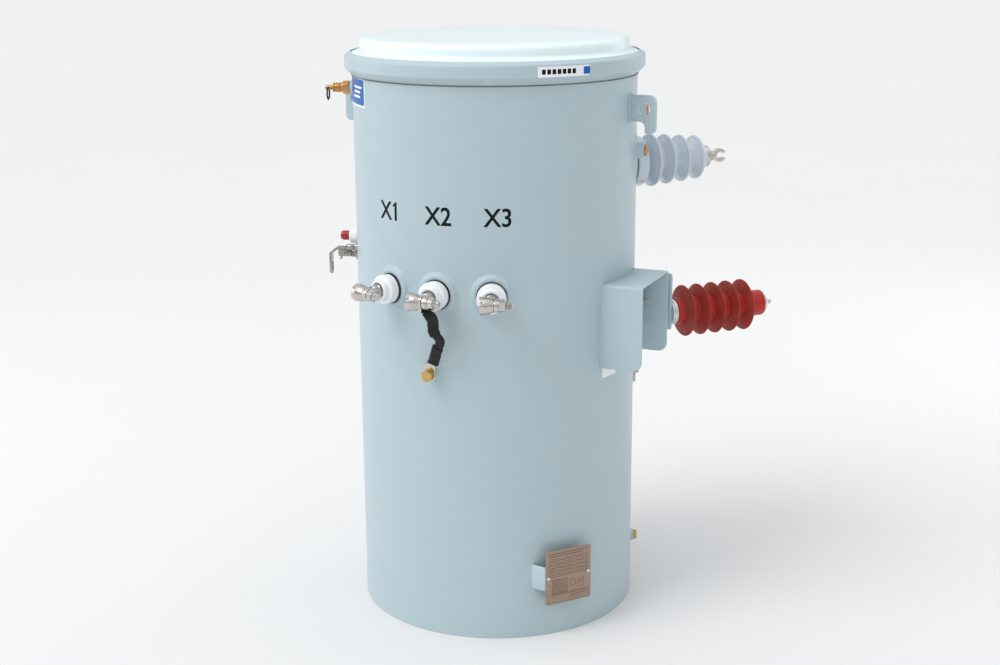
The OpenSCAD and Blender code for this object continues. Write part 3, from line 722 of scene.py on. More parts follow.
class TRANSFORMER_OT_tank(Maker, bpy.types.Operator):
    """Builds the tank wall, its bottom and the pressed pads under the bushings"""
    bl_idname = "transformer.tank"
    bl_label = "Tank"

    def build(self):
        radius, wall = mm("tank_radius"), mm("wall")
        rim = high_edge("cover_gasket", 0)
        flare = rim - radius
        profile = [(radius, 0, 1), (radius, TANK_H - flare - 2, 9), (rim, TANK_H - 2, 1.5),
                   (rim, TANK_H, 0.6), (radius - wall, TANK_H, 0.6), (radius - wall, 0, 1)]
        painted("tank_wall", lathe(profile, ROUND_STEPS, closed=True), replaces=("tank_shell",))
        bottom = low_edge("tank_bottom", 2)
        inside = radius - wall
        thin_ring = lathe([(inside, bottom - 5), (inside, bottom), (inside - 5, bottom)], 192, closed=True)
        painted("bottom_weld", thin_ring)
        keep("tank_bottom", paint())
        keep("core_and_coils", core_steel())
        pads = [(side * LV_STEP, LV_Z, 33, 6) for side in (-1, 0, 1)] + [(HV_AZ, HV_Z, 53, 9)]
        for i, (az, z, reach, height) in enumerate(pads, 1):
            shape = lathe([(0, height), (reach - 1, height, 4), (reach + 3, 0.6, 5), (reach + 9, -0.7),
                           (reach + 9, -4), (0, -8)], 96, segments=7)
            drape(shape, reach - 4, reach + 4)
            painted("pressed_pad_%d" % i, shape, outward(az, z))


class TRANSFORMER_OT_cover(Maker, bpy.types.Operator):
    """Builds the cover, its gasket, the clamp band and the bolt that closes the band"""
    bl_idname = "transformer.cover"
    bl_label = "Cover and band"

    def build(self):
        radius, rim = mm("tank_radius"), high_edge("cover_gasket", 0)
        top_r = rim - 24
        edge_top = COVER_Z + 15
        shape = lathe([(0, TOP_Z), (top_r - 60, TOP_Z - 0.3, 60), (top_r - 0.5, TOP_Z - 1.4, 11),
                       (top_r, edge_top + 9.5, 6), (rim - 1, edge_top - 0.2, 3), (rim, edge_top - 2, 1),
                       (rim, COVER_Z + SEAM, 1), (0, COVER_Z + SEAM)], ROUND_STEPS, segments=8)
        # Its lighter colour is painted light on the cover's top.
        piece("cover", shape, cover_paint(), replaces=("tank_cover",))
        keep("cover_gasket", rubber())
        grip = rim + SEAM
        band = lathe([(radius + 0.4, TANK_H - 14.8, 0.6), (grip + 3, TANK_H - 2.5, 4),
                      (grip + 3, edge_top - 1, 4), (grip - 7.6, edge_top + 5.2, 0.8),
                      (grip - 7.8, edge_top + 4, 0.4), (grip, edge_top + 0.6, 1), (grip, TANK_H - 1.8, 1),
                      (radius + 0.4, TANK_H - 12.4, 0.4)], ROUND_STEPS, closed=True, sweep=357.6)
        # The band's open ends come to either side of its closing bolt.
        painted("clamp_band", band, turn(BAND_BOLT_AZ - 90 + 1.2, "Z"), ("cover_band",))
        # A thin dark ring just under the band stands for the shade below the band's lower edge: painted
        # shade.
        thin_ring = lathe([(radius - 0.5, TANK_H - 16.4), (radius + 1.5, TANK_H - 16.2, 0.4),
                      (radius + 1.7, TANK_H - 15, 0.3), (radius - 0.5, TANK_H - 15)], 192, closed=True)
        piece("band_painted_shade_line", thin_ring, painted_shade_line())
        self.closing_bolt(grip + 3, (edge_top + TANK_H) / 2, edge_top - TANK_H)

    def closing_bolt(self, reach, z, height):
        """Two ears on the band's ends with a long bolt through them."""
        ears = bmesh.new()
        for side in (-1, 1):
            ear = plate([(0, -height / 2 + 1, 1), (16, -height / 2 + 3, 6), (16, height / 2 - 3, 6),
                         (0, height / 2 - 1, 1)], 4.6, holes=[circle(4.4, 8, 0)], edge=0.5)
            put(ears, ear, move(side * 7.5 - 2.3, 0, 0.4) @ turn(-90, "Y") @ FLIP_Z)
        bmesh.ops.recalc_face_normals(ears, faces=ears.faces)
        at = outward(BAND_BOLT_AZ, z, reach)
        painted("band_ears", ears, at)
        parts = ((threaded(4, 46), -22), (hexagon(13, 5.5), -24), (nut(13, 6.5, 4), 12.6),
                 (washer(8.5, 4.1, 1.6), 10.6), (washer(8.5, 4.1, 1.6), -12.6))
        bolt = together(*[(part, move(x, 0, 8) @ ALONG_X) for part, x in parts])
        piece("band_bolt", bolt, zinc(), at, replaces=("cover_band_bolt",))


LV_FOOT = 9
LV_FACE = LV_FOOT + 27
EYE_OUT = LV_FACE + 29
EYE_SIDE = 8.5
EYE_W = 7
SHANK_R = 6
HEAD_R = 15
HEAD_L = 23
STRAP_LUG_T = 4


class TRANSFORMER_OT_low_voltage(Maker, bpy.types.Operator):
    """Builds the three low-voltage bushings with their gaskets and clamp terminals"""
    bl_idname = "transformer.low_voltage"
    bl_label = "Low-voltage bushings"

    def build(self):
        terminals, bolts, nuts, gaskets = (bmesh.new() for _ in range(4))
        for i, side in enumerate((-1, 0, 1), 1):
            at = outward(side * LV_STEP, LV_Z)
            porcelain = lathe([(0, LV_FOOT), (24.2, LV_FOOT, 1.2), (25, LV_FOOT + 2, 1),
                               (25, LV_FOOT + 16.5, 4.5), (20.2, LV_FOOT + 17, 0.8),
                               (19.2, LV_FOOT + 18.2, 0.8), (19, LV_FACE, 4), (13.4, LV_FACE, 1.6),
                               (13, LV_FACE - 7, 1), (0, LV_FACE - 7)], 96)
            piece("low_voltage_porcelain_%d" % i, porcelain, white_porcelain(), at,
                  replaces=("lv_bushing_%d" % i,))
            put(gaskets, lathe([(19, 6), (26.2, 6, 0.6), (26.4, 9, 1.2), (19, 9)], 72, closed=True), at)
            put(terminals, self.terminal(), at)
            # The middle clamp also holds the ground strap's upper lug.
            pull = STRAP_LUG_T if side == 0 else 0
            put(bolts, self.clamp_bolt(),
                at @ move(EYE_SIDE - EYE_W / 2 - SEAM - pull, 0, EYE_OUT) @ turn(-90, "Y"))
            put(nuts, together(washer(11, SHANK_R + PIN_GAP, 2), (nut(19, 9.6, SHANK_R - 0.2), move(z=2.1))),
                at @ move(EYE_SIDE + EYE_W / 2 + SEAM, 0, EYE_OUT) @ ALONG_X)
        piece("low_voltage_gaskets", gaskets, rubber(), replaces=("lv_gaskets",))
        for name, shapes, node in (("low_voltage_terminals", terminals, "lv_terminals"),
                                   ("clamp_bolts", bolts, "lv_clamp_bolts"),
                                   ("clamp_nuts", nuts, "lv_clamp_nuts")):
            piece(name, shapes, tinned(), replaces=(node,))

    def terminal(self):
        """A round neck that ends in a flat eye."""
        neck_end, tang_drop = EYE_OUT - HEAD_R - 1, 13.5
        neck = lathe([(0, LV_FACE - 6.8), (11, LV_FACE - 6.8, 0.5), (11, LV_FACE + 1, 0.5),
                      (10, LV_FACE + 2, 0.5), (10, LV_FACE + 4, 0.5), (11, LV_FACE + 5, 0.5),
                      (11, neck_end, 2), (0, neck_end)], 48)
        tang = block(EYE_W, 19, 15, 1)
        eye = lathe([(SHANK_R + PIN_GAP, -EYE_W / 2, 0.4), (11, -EYE_W / 2, 1.2), (11, EYE_W / 2, 1.2),
                     (SHANK_R + PIN_GAP, EYE_W / 2, 0.4)], 48, closed=True, segments=3)
        bore = rod(SHANK_R + 0.5, -20, 20)
        bore.transform(move(z=tang_drop) @ ALONG_X)
        return together(neck, (carve(tang, bore), move(EYE_SIDE, 0, EYE_OUT - tang_drop)),
                        (eye, move(EYE_SIDE, 0, EYE_OUT) @ ALONG_X))

    def clamp_bolt(self):
        """A cup with four notches in its rim, and a threaded shank."""
        rim_h, notch_az, half_notch = 16, 30, 12
        cup = lathe([(0, 0), (11, 0, 1.6), (HEAD_R - 0.9, 8, 7), (HEAD_R, rim_h - 2, 4), (HEAD_R, rim_h),
                     (10.8, rim_h), (10.2, rim_h - 3, 1), (0, rim_h - 4)], 72)

        def between_notches(face):
            spot = face.calc_center_median()
            angle = math.degrees(math.atan2(spot.y, spot.x)) - notch_az
            return spot.z > rim_h - 0.1 and abs((angle + 45) % 90 - 45) > half_notch

        crown = [f for f in cup.faces if f.normal.z > 0.9 and between_notches(f)]
        thicken(cup, crown, HEAD_L - rim_h)
        bevel_sharp(cup, 0.5, limit=50)
        plain, whole = EYE_W + 3, 32.2
        shank = lathe([(0, -plain), (SHANK_R - 0.3, -plain, 0.3), (SHANK_R, -plain + 0.6, 0.3),
                       (SHANK_R, 0.4), (0, 0.4)], 32)
        thread = threaded(SHANK_R - 0.1, whole - plain + 0.5)
        return together(cup, shank, (thread, move(z=-plain + 0.5) @ turn(180, "X")))


class TRANSFORMER_OT_ground_strap(Maker, bpy.types.Operator):
    """Builds the sleeved ground strap, its two lugs, and the ground bolt on its boss"""
    bl_idname = "transformer.ground_strap"
    bl_label = "Ground strap"

    # Sideways, height, distance from the wall, and turn of the strap's width about the upright axis.
    route = [(4, 603, 64, 96), (10, 598, 59, 116), (15, 590, 54, 138), (15, 578, 51, 150), (15, 566, 48, 162),
             (22, 552, 41, 172), (20, 543, 38, 176), (13, 532, 34, 180), (7, 519, 28, 180), (1, 508, 21, 180),
             (-3, 503, 17, 180)]

    def build(self):
        at = outward(0, 0)
        section = rounded(box_outline(19, 7, 3.4), 4)
        strap = sweep(self.stations(0, 1, 0.84), section)
        piece("ground_strap_middle", strap, sleeve(), at, replaces=("ground_strap",))
        for name, first, last in (("upper", 0.05, 0.43), ("lower", 0.66, 0.985)):
            tube = sweep(self.stations(first, last, 1.0, wrinkle=0.035, lip=0.09), section)
            piece("strap_sleeve_" + name, tube, sleeve(), at)
        self.lugs(at)

    def stations(self, first, last, scale, wrinkle=0.0, lip=0.0):
        """Places along the route, smoothly joined, with the sleeve's wrinkles and its thick ends."""
        count = 46
        places = []
        for i in range(count + 1):
            share = first + (last - first) * i / count
            spot = self.along(share)
            ahead = self.along(min(share + 0.01, 1)) - self.along(max(share - 0.01, 0))
            swell = scale * (1 + wrinkle * math.sin(share * 70) * math.sin(share * 23))
            near_end = max(0, 1 - i / 3) + max(0, 1 - (count - i) / 3)
            swell *= 1 + lip * near_end * (0 if i in (0, count) else 1)
            down = ahead.to_3d().normalized()
            wide = Vector((math.cos(math.radians(spot[3])), 0, math.sin(math.radians(spot[3]))))
            wide = (wide - down * wide.dot(down)).normalized()
            thick = down.cross(wide)
            turned = Matrix((wide, thick, down)).transposed().to_4x4()
            places.append(Matrix.Translation(spot.to_3d()) @ turned @ Matrix.Scale(swell, 4))
        return places

    def along(self, share):
        """A point on the smooth curve through the route, at a share of its length."""
        spot = share * (len(self.route) - 1)
        i = min(int(spot), len(self.route) - 2)
        t = spot - i
        p = [Vector(self.route[min(max(k, 0), len(self.route) - 1)]) for k in range(i - 1, i + 3)]
        return 0.5 * (2 * p[1] + (p[2] - p[0]) * t + (2 * p[0] - 5 * p[1] + 4 * p[2] - p[3]) * t * t
                      + (3 * p[1] - 3 * p[2] + p[3] - p[0]) * t ** 3)

    def lugs(self, at):
        upper = plate([(-9, -15.8, 1.5), (9, -15.8, 1.5), (11, -2, 4), (11, 11, 11), (-11, 11, 11),
                       (-11, -2, 4)], STRAP_LUG_T - 0.3, holes=[circle(SHANK_R + 0.2)], edge=0.5)
        # The plate's own +X points in towards the wall, so that its width lies along the bushing.
        place = at @ move(EYE_SIDE - EYE_W / 2 - SEAM - STRAP_LUG_T + 0.1, LV_Z, EYE_OUT) @ ALONG_X
        lower = plate([(-10.5, 20, 1.5), (-11.5, 4, 3), (-11.5, -11.5, 8), (11.5, -11.5, 8), (11.5, 4, 3),
                       (10.5, 20, 1.5)], STRAP_LUG_T - 0.2, edge=0.5)
        ground = outward(GROUND_AZ, GROUND_Z)
        shapes = together((upper, place), (lower, ground @ move(z=13.1)))
        piece("ground_strap_lugs", shapes, tinned(), replaces=("strap_lugs",))
        boss = lathe([(0, 13), (12, 13, 1), (12, -3), (0, -3)], 48)
        painted("ground_pad", boss, ground, ("ground_boss",))
        painted("ground_pad_weld", weld_ring(12, 3), ground)
        head = together((washer(10.5, 5, 1.6), move(z=17.1)), (washer(9.6, 5, 1.6), move(z=18.7)),
                        (hexagon(19, 7.5, 1.0), move(z=20.3)),
                        (lathe([(0, 0), (8, 0, 0.5), (7.6, 0.35), (0, 0.4)], 40), move(z=27.8)))
        piece("ground_bolt_head", head, yellow_zinc(), ground, replaces=("ground_bolt",))


class TRANSFORMER_OT_high_voltage(Maker, bpy.types.Operator):
    """Builds the high-voltage bushing with its gasket, cap and open-jaw terminal"""
    bl_idname = "transformer.high_voltage"
    bl_label = "High-voltage bushing"

    def build(self):
        at = outward(HV_AZ, HV_Z)
        foot, first, pitch, core, end = 13, 56, 31, 25, 172
        profile = [(0, foot), (45, foot, 2), (47, foot + 3, 2), (47, foot + 21, 4), (40, foot + 26, 4),
                   (core + 2, foot + 27, 4)]
        for i in range(4):
            spot, shed_r = first + i * pitch, 48 - 2.7 * i
            profile += [(core, spot - 11, 5), (shed_r - 4, spot - 1, 3), (shed_r, spot + 0.5, 1.4),
                        (shed_r + 1, spot + 3.5, 2), (shed_r - 1, spot + 6, 2), (core + 4, spot + 12, 6)]
        profile += [(core - 3, end - 6, 3), (core - 3.5, end - 0.2, 1.2), (0, end - 0.2)]
        piece("high_voltage_porcelain", lathe(profile, 128, segments=6), grey_porcelain(),
              at, replaces=("hv_bushing",))
        gasket = lathe([(24, 9), (44.5, 9, 1), (44.8, 13, 1), (24, 13)], 96, closed=True)
        piece("high_voltage_gasket", gasket, rubber(), at, replaces=("hv_gasket",))
        cap = lathe([(0, end), (21, end, 1), (20.6, end + 5, 2), (12, end + 13, 3), (9.6, end + 15.8, 0.8),
                     (0, end + 15.8)], 72)
        piece("high_voltage_cap", cap, tinned(), at, replaces=("hv_cap",))
        piece("high_voltage_clamp", self.jaw(), tinned(), at @ move(z=end + 16),
              replaces=("hv_terminal",))

    def jaw(self):
        """A stem with an open eye on it."""
        outer, inner, half_gap, thick, centre = 13, 6.5, 4.5, 12, 17
        reach_out, reach_in = math.asin(half_gap / outer), math.asin(half_gap / inner)
        steps = 20
        outline = [(outer * math.cos(a), outer * math.sin(a)) for a in
                   (reach_out + (math.tau - 2 * reach_out) * k / steps for k in range(steps + 1))]
        outline += [(inner * math.cos(a), inner * math.sin(a)) for a in
                    (-reach_in - (math.tau - 2 * reach_in) * k / steps for k in range(steps + 1))]
        eye = plate(outline, thick, edge=1.4)
        stem = lathe([(0, 0), (8.6, 0, 0.8), (8.6, 3, 0.8), (7, 4.4, 0.6), (7, 8), (0, 8)], 48)
        return together(stem, (eye, move(thick / 2, 0, centre) @ turn(-90, "Y")))


class TRANSFORMER_OT_arrester(Maker, bpy.types.Operator):
    """Builds the surge arrester with its end fittings and its bracket"""
    bl_idname = "transformer.arrester"
    bl_label = "Surge arrester"

    def build(self):
        reach = 355
        foot, body, first, pitch, core, shed_r = 11, 190, 31, 32, 25, 49
        at = outward(HV_AZ, ARRESTER_Z, reach)
        profile = [(0, foot), (core - 0.6, foot, 0.8), (core, foot + 2, 0.8)]
        sheds = bmesh.new()
        for i in range(5):
            spot = first + i * pitch
            profile += [(core, spot - 12, 1), (core + 1.6, spot - 10.5, 0.8), (core + 1.8, spot + 1, 1),
                        (core, spot + 5, 2)]
            shed = lathe([(core - 1, spot - 7), (core + 3, spot - 6.5, 2), (shed_r - 1, spot - 0.4, 0.6),
                          (shed_r + 0.9, spot + 1, 0.8), (shed_r - 1, spot + 2.2, 0.6),
                          (core + 3, spot + 0.5, 3), (core - 1, spot + 4)], 128, closed=True, segments=3)
            put(sheds, shed)
        profile += [(core, foot + body - 1, 1), (core - 1, foot + body, 0.5), (0, foot + body)]
        piece("arrester_core", lathe(profile, 96, segments=3), silicone(), at,
              replaces=("arrester_body",))
        piece("arrester_shed_rings", sheds, shed_silicone(), at)
        foot_shape = lathe([(0, 0.1), (22.5, 0.1, 1), (22.5, 3, 0.5), (24, 4, 0.8), (24, foot - 0.2, 1.4),
                            (0, foot - 0.2)], 96)
        piece("arrester_base", foot_shape, aluminium(), at, replaces=("arrester_foot",))
        end = foot + body
        dome = lathe([(0, end + 0.1), (23, end + 0.1, 1), (22.6, end + 3.4, 1.6), (18.5, end + 8, 2),
                      (0, end + 8)], 96)
        cap = together(dome, (washer(9.5, 4, 1.5), move(z=end + 8)), (hexagon(17, 5.6), move(z=end + 9.4)),
                       (threaded(5, 11.5, tip=3.0), move(z=end + 15)))
        piece("arrester_top", cap, aluminium(), at, replaces=("arrester_cap",))
        self.bracket(at, reach)

    def bracket(self, at, reach):
        """An upright flange with one arm back to the wall."""
        thick = 5
        flange = plate([(-14, -32, 5), (20, -32, 5), (20, 77, 5), (-14, 77, 5)], thick - 0.1, edge=0.8)
        arm_root = reach - thick - mm("tank_radius") + 0.8
        arm = plate([(0, -32, 2), (arm_root + 0.5, -32), (arm_root + 0.5, 52), (0, 52, 2)], thick, edge=0.7)
        shapes = together((flange, at @ move(z=-thick)),
                          (arm, at @ move(20, 0, -thick) @ turn(90, "Y") @ FLIP_Z))
        bmesh.ops.recalc_face_normals(shapes, faces=shapes.faces)
        painted("arrester_flange", shapes, replaces=("arrester_bracket",))
        wall = outward(HV_AZ, ARRESTER_Z)
        welds = together(*[(wall_weld(x, -31, 51, mm("weld_leg"), 0.5), wall) for x in (14.5, 20.5)])
        painted("arrester_bracket_welds", welds)


class TRANSFORMER_OT_hood(Maker, bpy.types.Operator):
    """Builds the open-sided hood and the studs in it"""
    bl_idname = "transformer.hood"
    bl_label = "Hood"

    # Sideways and down from the middle of the hood's top, and how far each stud stands out.
    stud_places = ((35, -53, 30), (26, -83, 22))

    def build(self):
        left, right = low_edge("switch_hood", 1), high_edge("switch_hood", 1)
        thick, bend, corner = 3, 7, 32
        at = outward(HOOD_AZ, HOOD_TOP, 0)
        outside = [(left, -HOOD_H), (left, 0, bend), (right, 0, bend), (right, -HOOD_H)]
        inside = [(right - thick, -HOOD_H), (right - thick, -thick, bend - thick),
                  (left + thick, -thick, bend - thick), (left + thick, -HOOD_H)]
        root = 190
        strip = plate(outside + inside, HOOD_REACH - root, edge=0)
        strip.transform(move(z=root))
        # The lower outer corners of both side plates are cut to one round line.
        waste = plate([(HOOD_REACH - corner, -HOOD_H - 5), (HOOD_REACH + 5, -HOOD_H - 5),
                       (HOOD_REACH + 5, -HOOD_H + corner), (HOOD_REACH, -HOOD_H + corner),
                       (HOOD_REACH, -HOOD_H, corner), (HOOD_REACH - corner, -HOOD_H)],
                      right - left + 40, edge=0, segments=14)
        waste.transform(move(right + 20, 0, 0) @ turn(-90, "Y"))
        hood = carve(strip, waste)
        hood.transform(at)
        hood = bevel_sharp(carve_wall(hood), mm("edge_round"), limit=50)
        painted("hood_sheet", hood, replaces=("switch_hood",))
        welds = bmesh.new()
        wall = outward(HOOD_AZ, HOOD_TOP)
        for x in (left - 0.4, left + thick + 0.4, right - thick - 0.4, right + 0.4):
            put(welds, wall_weld(x, -HOOD_H + 1, -5, 3), wall)
        painted("hood_welds", welds)
        studs = bmesh.new()
        for x, y, out in self.stud_places:
            put(studs, threaded(5, out + 6), wall @ move(x, y, -6))
            put(studs, together((washer(9, 5, 1.5), move(z=0.4)), (nut(16, 7, 4.6), move(z=1.9))),
                wall @ move(x, y, 0))
        piece("hood_stud_bolts", studs, zinc(), replaces=("hood_studs",))


class TRANSFORMER_OT_lifting_lugs(Maker, bpy.types.Operator):
    """Builds the two lifting lugs with their holes and welds"""
    bl_idname = "transformer.lifting_lugs"
    bl_label = "Lifting lugs"

    def build(self):
        thick, tongue_w, tongue_h, root_h = 8, 19, 20, 45
        root = LUG_TOP - root_h
        inner = mm("tank_radius") + 0.2
        outline = [(inner, root), (LUG_REACH - tongue_w, root, 18),
                   (LUG_REACH - tongue_w, root - tongue_h, 2), (LUG_REACH, root - tongue_h, 9),
                   (LUG_REACH, LUG_TOP, 13), (inner, LUG_TOP)]
        # The hole has a small drain slot at its lowest point.
        hole_r, x, y = 11, LUG_REACH - 21, LUG_TOP - 23
        arc = [math.radians(-78 + 336 * k / 28) for k in range(29)]
        hole = [(x + hole_r * math.cos(a), y + hole_r * math.sin(a)) for a in arc]
        hole += [(x - 2.3, y - 16, 2), (x + 2.3, y - 16, 2)]
        for side, name in ((1, "right"), (-1, "left")):
            shape = plate(outline, thick, holes=[hole], edge=0.8)
            shape.transform(FLIP_Z @ move(z=-thick / 2))
            shape.transform(turn(side * 90 - 90, "Z") @ turn(90, "X"))
            bmesh.ops.recalc_face_normals(shape, faces=shape.faces)
            painted("lifting_lug_plate_" + name, shape, replaces=("lifting_lug_" + name,))
            welds = bmesh.new()
            for beside in (-thick / 2 - 0.6, thick / 2 + 0.6):
                put(welds, weld_line((beside, -root_h - 2, 0.8), (beside, 2, 0.8), 5),
                    outward(side * 90, LUG_TOP))
            painted("lifting_lug_welds_" + name, welds)


class TRANSFORMER_OT_side_fittings(Maker, bpy.types.Operator):
    """Builds the plugs, the ground tab and the lower ground bolt on the right side"""
    bl_idname = "transformer.side_fittings"
    bl_label = "Side fittings"

    # Angle, height and length of each plug's boss, then the places of the bar and the lower screw.
    plug_bosses = ((115, 896, 17), (101, 833, 16))
    bar_place = (116, 410)
    lower_screw_place = (114, 91)

    def build(self):
        bosses, plugs = bmesh.new(), bmesh.new()
        boss_r = 14
        for az, z, length in self.plug_bosses:
            at = outward(az, z)
            put(bosses, lathe([(0, -3), (boss_r, -3), (boss_r, length, 1.4), (11.4, length, 0.5),
                               (11.2, length - 2), (0, length - 2)], 56), at)
            put(bosses, weld_ring(boss_r, 3), at)
            cap = lathe([(0, 0), (11, 0), (11, 3, 0.6), (0, 3)], 56)
            put(plugs, together((cap, move(z=length - 2)), (hexagon(17, 4), move(z=length + 0.9))), at)
        painted("side_plug_bosses", bosses)
        piece("side_plug_caps", plugs, brass(), replaces=("side_plugs",))
        tab = outward(*self.bar_place)
        bar = plate(box_outline(24, 32, 3), 6.6, edge=0.7)
        piece("side_ground_bar", together((bar, move(z=-0.8))), zinc(), tab,
              replaces=("side_tab",))
        screw = together((washer(7.6, 3.6, 1.2), move(0, 6, 5.8)), (hexagon(13, 5.2), move(0, 6, 7.0)))
        piece("side_ground_screw", screw, yellow_zinc(), tab)
        low = outward(*self.lower_screw_place)
        pad = together(lathe([(0, -2), (11, -2), (11, 6, 0.8), (0, 6)], 48), weld_ring(11, 2.5))
        painted("lower_ground_pad", pad, low)
        screw = together((washer(9.5, 4, 1.4), move(z=6)), (hexagon(16, 5.6), move(z=7.4)))
        piece("lower_ground_screw", screw, yellow_zinc(), low, replaces=("lower_ground_nut",))


class TRANSFORMER_OT_relief_valve(Maker, bpy.types.Operator):
    """Builds the relief valve on its boss, with its pull ring"""
    bl_idname = "transformer.relief_valve"
    bl_label = "Relief valve"

    def build(self):
        at = outward(RELIEF_AZ, RELIEF_Z)
        boss_h, hex_h, barrel_h, eye = 8, 13, 18, 48
        boss = lathe([(0, -3), (13, -3), (13, boss_h - 0.6, 1.2), (10, boss_h - 0.6), (0, boss_h - 0.6)], 56)
        painted("relief_valve_boss", together(boss, weld_ring(13, 3)), at, ("relief_boss",))
        base = boss_h + hex_h
        barrel = lathe([(0, base - 1), (8.8, base - 1), (8.8, base + 2, 0.4), (7.6, base + 2.6, 0.3),
                        (7.6, base + 3.6, 0.3), (8.4, base + 4.2, 0.4), (8.4, base + 13, 0.5),
                        (7.4, base + 13.8, 0.3), (7.4, base + 15, 0.3), (8.2, base + 15.6, 0.5),
                        (8.2, base + barrel_h, 1.4), (4.2, base + barrel_h, 0.6),
                        (4, base + barrel_h + 2, 0.4), (4, eye + 5, 1.6), (0, eye + 5)], 56, segments=3)
        hole = rod(3, -12, 12)
        hole.transform(move(z=eye) @ ALONG_X)
        valve = together((threaded(8.5, 4), move(z=boss_h - 3)),
                         (hexagon(21, hex_h - 0.6, 0.9), move(z=boss_h + 0.4)), carve(barrel, hole))
        piece("relief_valve_body", valve, brass(), at, replaces=("relief_valve",))
        ring_r, wire_r = 10.5, 1.5
        wire = lathe(circle(wire_r, ring_r), 72, closed=True)
        piece("relief_pull_ring", wire, dark_wire(), at @ move(0, -ring_r, eye),
              body="pull_ring", replaces=("relief_ring",))


class TRANSFORMER_OT_signal_light(Maker, bpy.types.Operator):
    """Builds the signal light: a stepped white housing with a red lens"""
    bl_idname = "transformer.signal_light"
    bl_label = "Signal light"

    def build(self):
        at = outward(SWITCH_AZ, LIGHT_Z)
        deep = 18
        housing = lathe([(0, -1.2), (15.5, -1.2), (15.5, 8.2, 1.6), (14.3, 9.4, 0.6), (14.3, 15, 0.5),
                         (12.5, deep, 1.2), (9.4, deep, 0.5), (9.2, deep - 1), (0, deep - 1)], 72)
        piece("signal_housing", housing, white_plastic(), at, replaces=("light_housing",))
        lens = lathe([(0, deep - 0.9), (9.1, deep - 0.9), (9.1, deep + 1, 0.5), (8.7, deep + 1.4, 0.4),
                      (8.7, deep + 12, 2), (7.6, deep + 16.4, 4), (3, deep + 18, 4), (0, deep + 18)], 72)
        piece("signal_lens", lens, red_lens(), at, replaces=("light_lens",))


class TRANSFORMER_OT_switch(Maker, bpy.types.Operator):
    """Builds the switch boss, its handle and the reset lever"""
    bl_idname = "transformer.switch"
    bl_label = "Switch"

    shaft_r = 5
    hub_z = 16
    hub_l = 24
    lever_at = (22, 15)

    def build(self):
        at = outward(SWITCH_AZ, SWITCH_Z)
        lever = move(self.lever_at[0], self.lever_at[1], 0)
        boss = lathe([(0, -1), (13, -1), (13, 6.8, 1.4), (9.4, 8, 0.6), (9.2, 8.4), (0, 8.4)], 64)
        collar = lathe([(0, 8), (8.5, 8.4, 0.6), (8.5, 11, 0.6), (7.4, 11.6, 0.3), (7.4, 12.6, 0.3),
                        (8.3, 13.2, 0.5), (8.3, 15, 0.5), (0, 15)], 48)
        shaft = lathe([(0, 14), (self.shaft_r, 14), (self.shaft_r, self.hub_z + self.hub_l + 0.9, 0.8),
                       (0, self.hub_z + self.hub_l + 0.9)], 40)
        stub = lathe([(0, -3), (6, -3), (6, 5.6, 1.2), (3.6, 6, 0.3), (3, 6.4, 0.3), (3, 14.3, 0.5),
                      (0, 14.3)], 36)
        piece("switch_wall_boss", together(boss, collar, shaft, (stub, lever)), switch_metal(),
              at, replaces=("switch_boss",))
        piece("switch_grip", self.handle(), switch_metal(), at, body="handle",
              replaces=("switch_handle",))
        piece("reset_blade", self.blade(), switch_metal(), at @ lever, body="lever",
              replaces=("reset_lever",))

    def handle(self):
        """A hub with a bar that slopes down past its end and hangs as a flat grip with an eye."""
        hub_r, width, thick = self.shaft_r + 2.5, 18, 4
        start, bar_y = self.hub_z, hub_r - 1
        slope = start + self.hub_l + 3
        grip = slope + 14
        hub = lathe([(self.shaft_r + PIN_GAP, start, 0.3), (hub_r - 0.8, start, 0.5), (hub_r, start + 1, 0.5),
                     (hub_r, start + self.hub_l, 0.8), (self.shaft_r + PIN_GAP, start + self.hub_l, 0.3)], 56,
                    closed=True, segments=3)
        bar = plate([(start + 0.2, bar_y, 0.5), (start + 0.2, bar_y + thick, 1.2), (slope, bar_y + thick, 5),
                     (grip, 0, 6), (grip, -7), (grip - thick, -7), (grip - thick, -2, 3),
                     (slope - 1.5, bar_y, 3)], width, edge=0.6)
        bar.transform(move(width / 2, 0, 0) @ turn(-90, "Y"))
        bar = carve(bar, rod(self.shaft_r + 1.4, 0, 60))
        eye = box_outline(12, 20, 6, y=-27)
        blade = plate([(-width / 2, -5.4), (width / 2, -5.4), (width / 2, -40, 9), (-width / 2, -40, 9)],
                      thick, holes=[eye], edge=0.6)
        return together(hub, bar, (blade, move(z=grip - thick)))

    def blade(self):
        """A short hub on its pin, with a blade that curves out and down."""
        start, pin, long = 8, 3, 7
        hub = lathe([(pin + PIN_GAP, start, 0.2), (pin + 2, start, 0.4), (pin + 2, start + long + 3, 0.6),
                     (0, start + long + 3), (0, start + long + 0.4), (pin + PIN_GAP, start + long + 0.4)],
                    40, closed=True, segments=2)
        width = 5
        shape = plate([(start + long + 0.6, -4, 0.5), (start + long + 0.6, 4, 2), (start + long + 5, 4.4, 4),
                       (start + long + 11.5, -4, 8), (start + long + 19, -23, 1),
                       (start + long + 15.6, -23, 1), (start + long + 8, -6, 6),
                       (start + long + 3.4, -2, 2)], width, edge=0.7)
        shape.transform(move(width / 2, 0, 0) @ turn(-90, "Y"))
        return together(hub, shape)


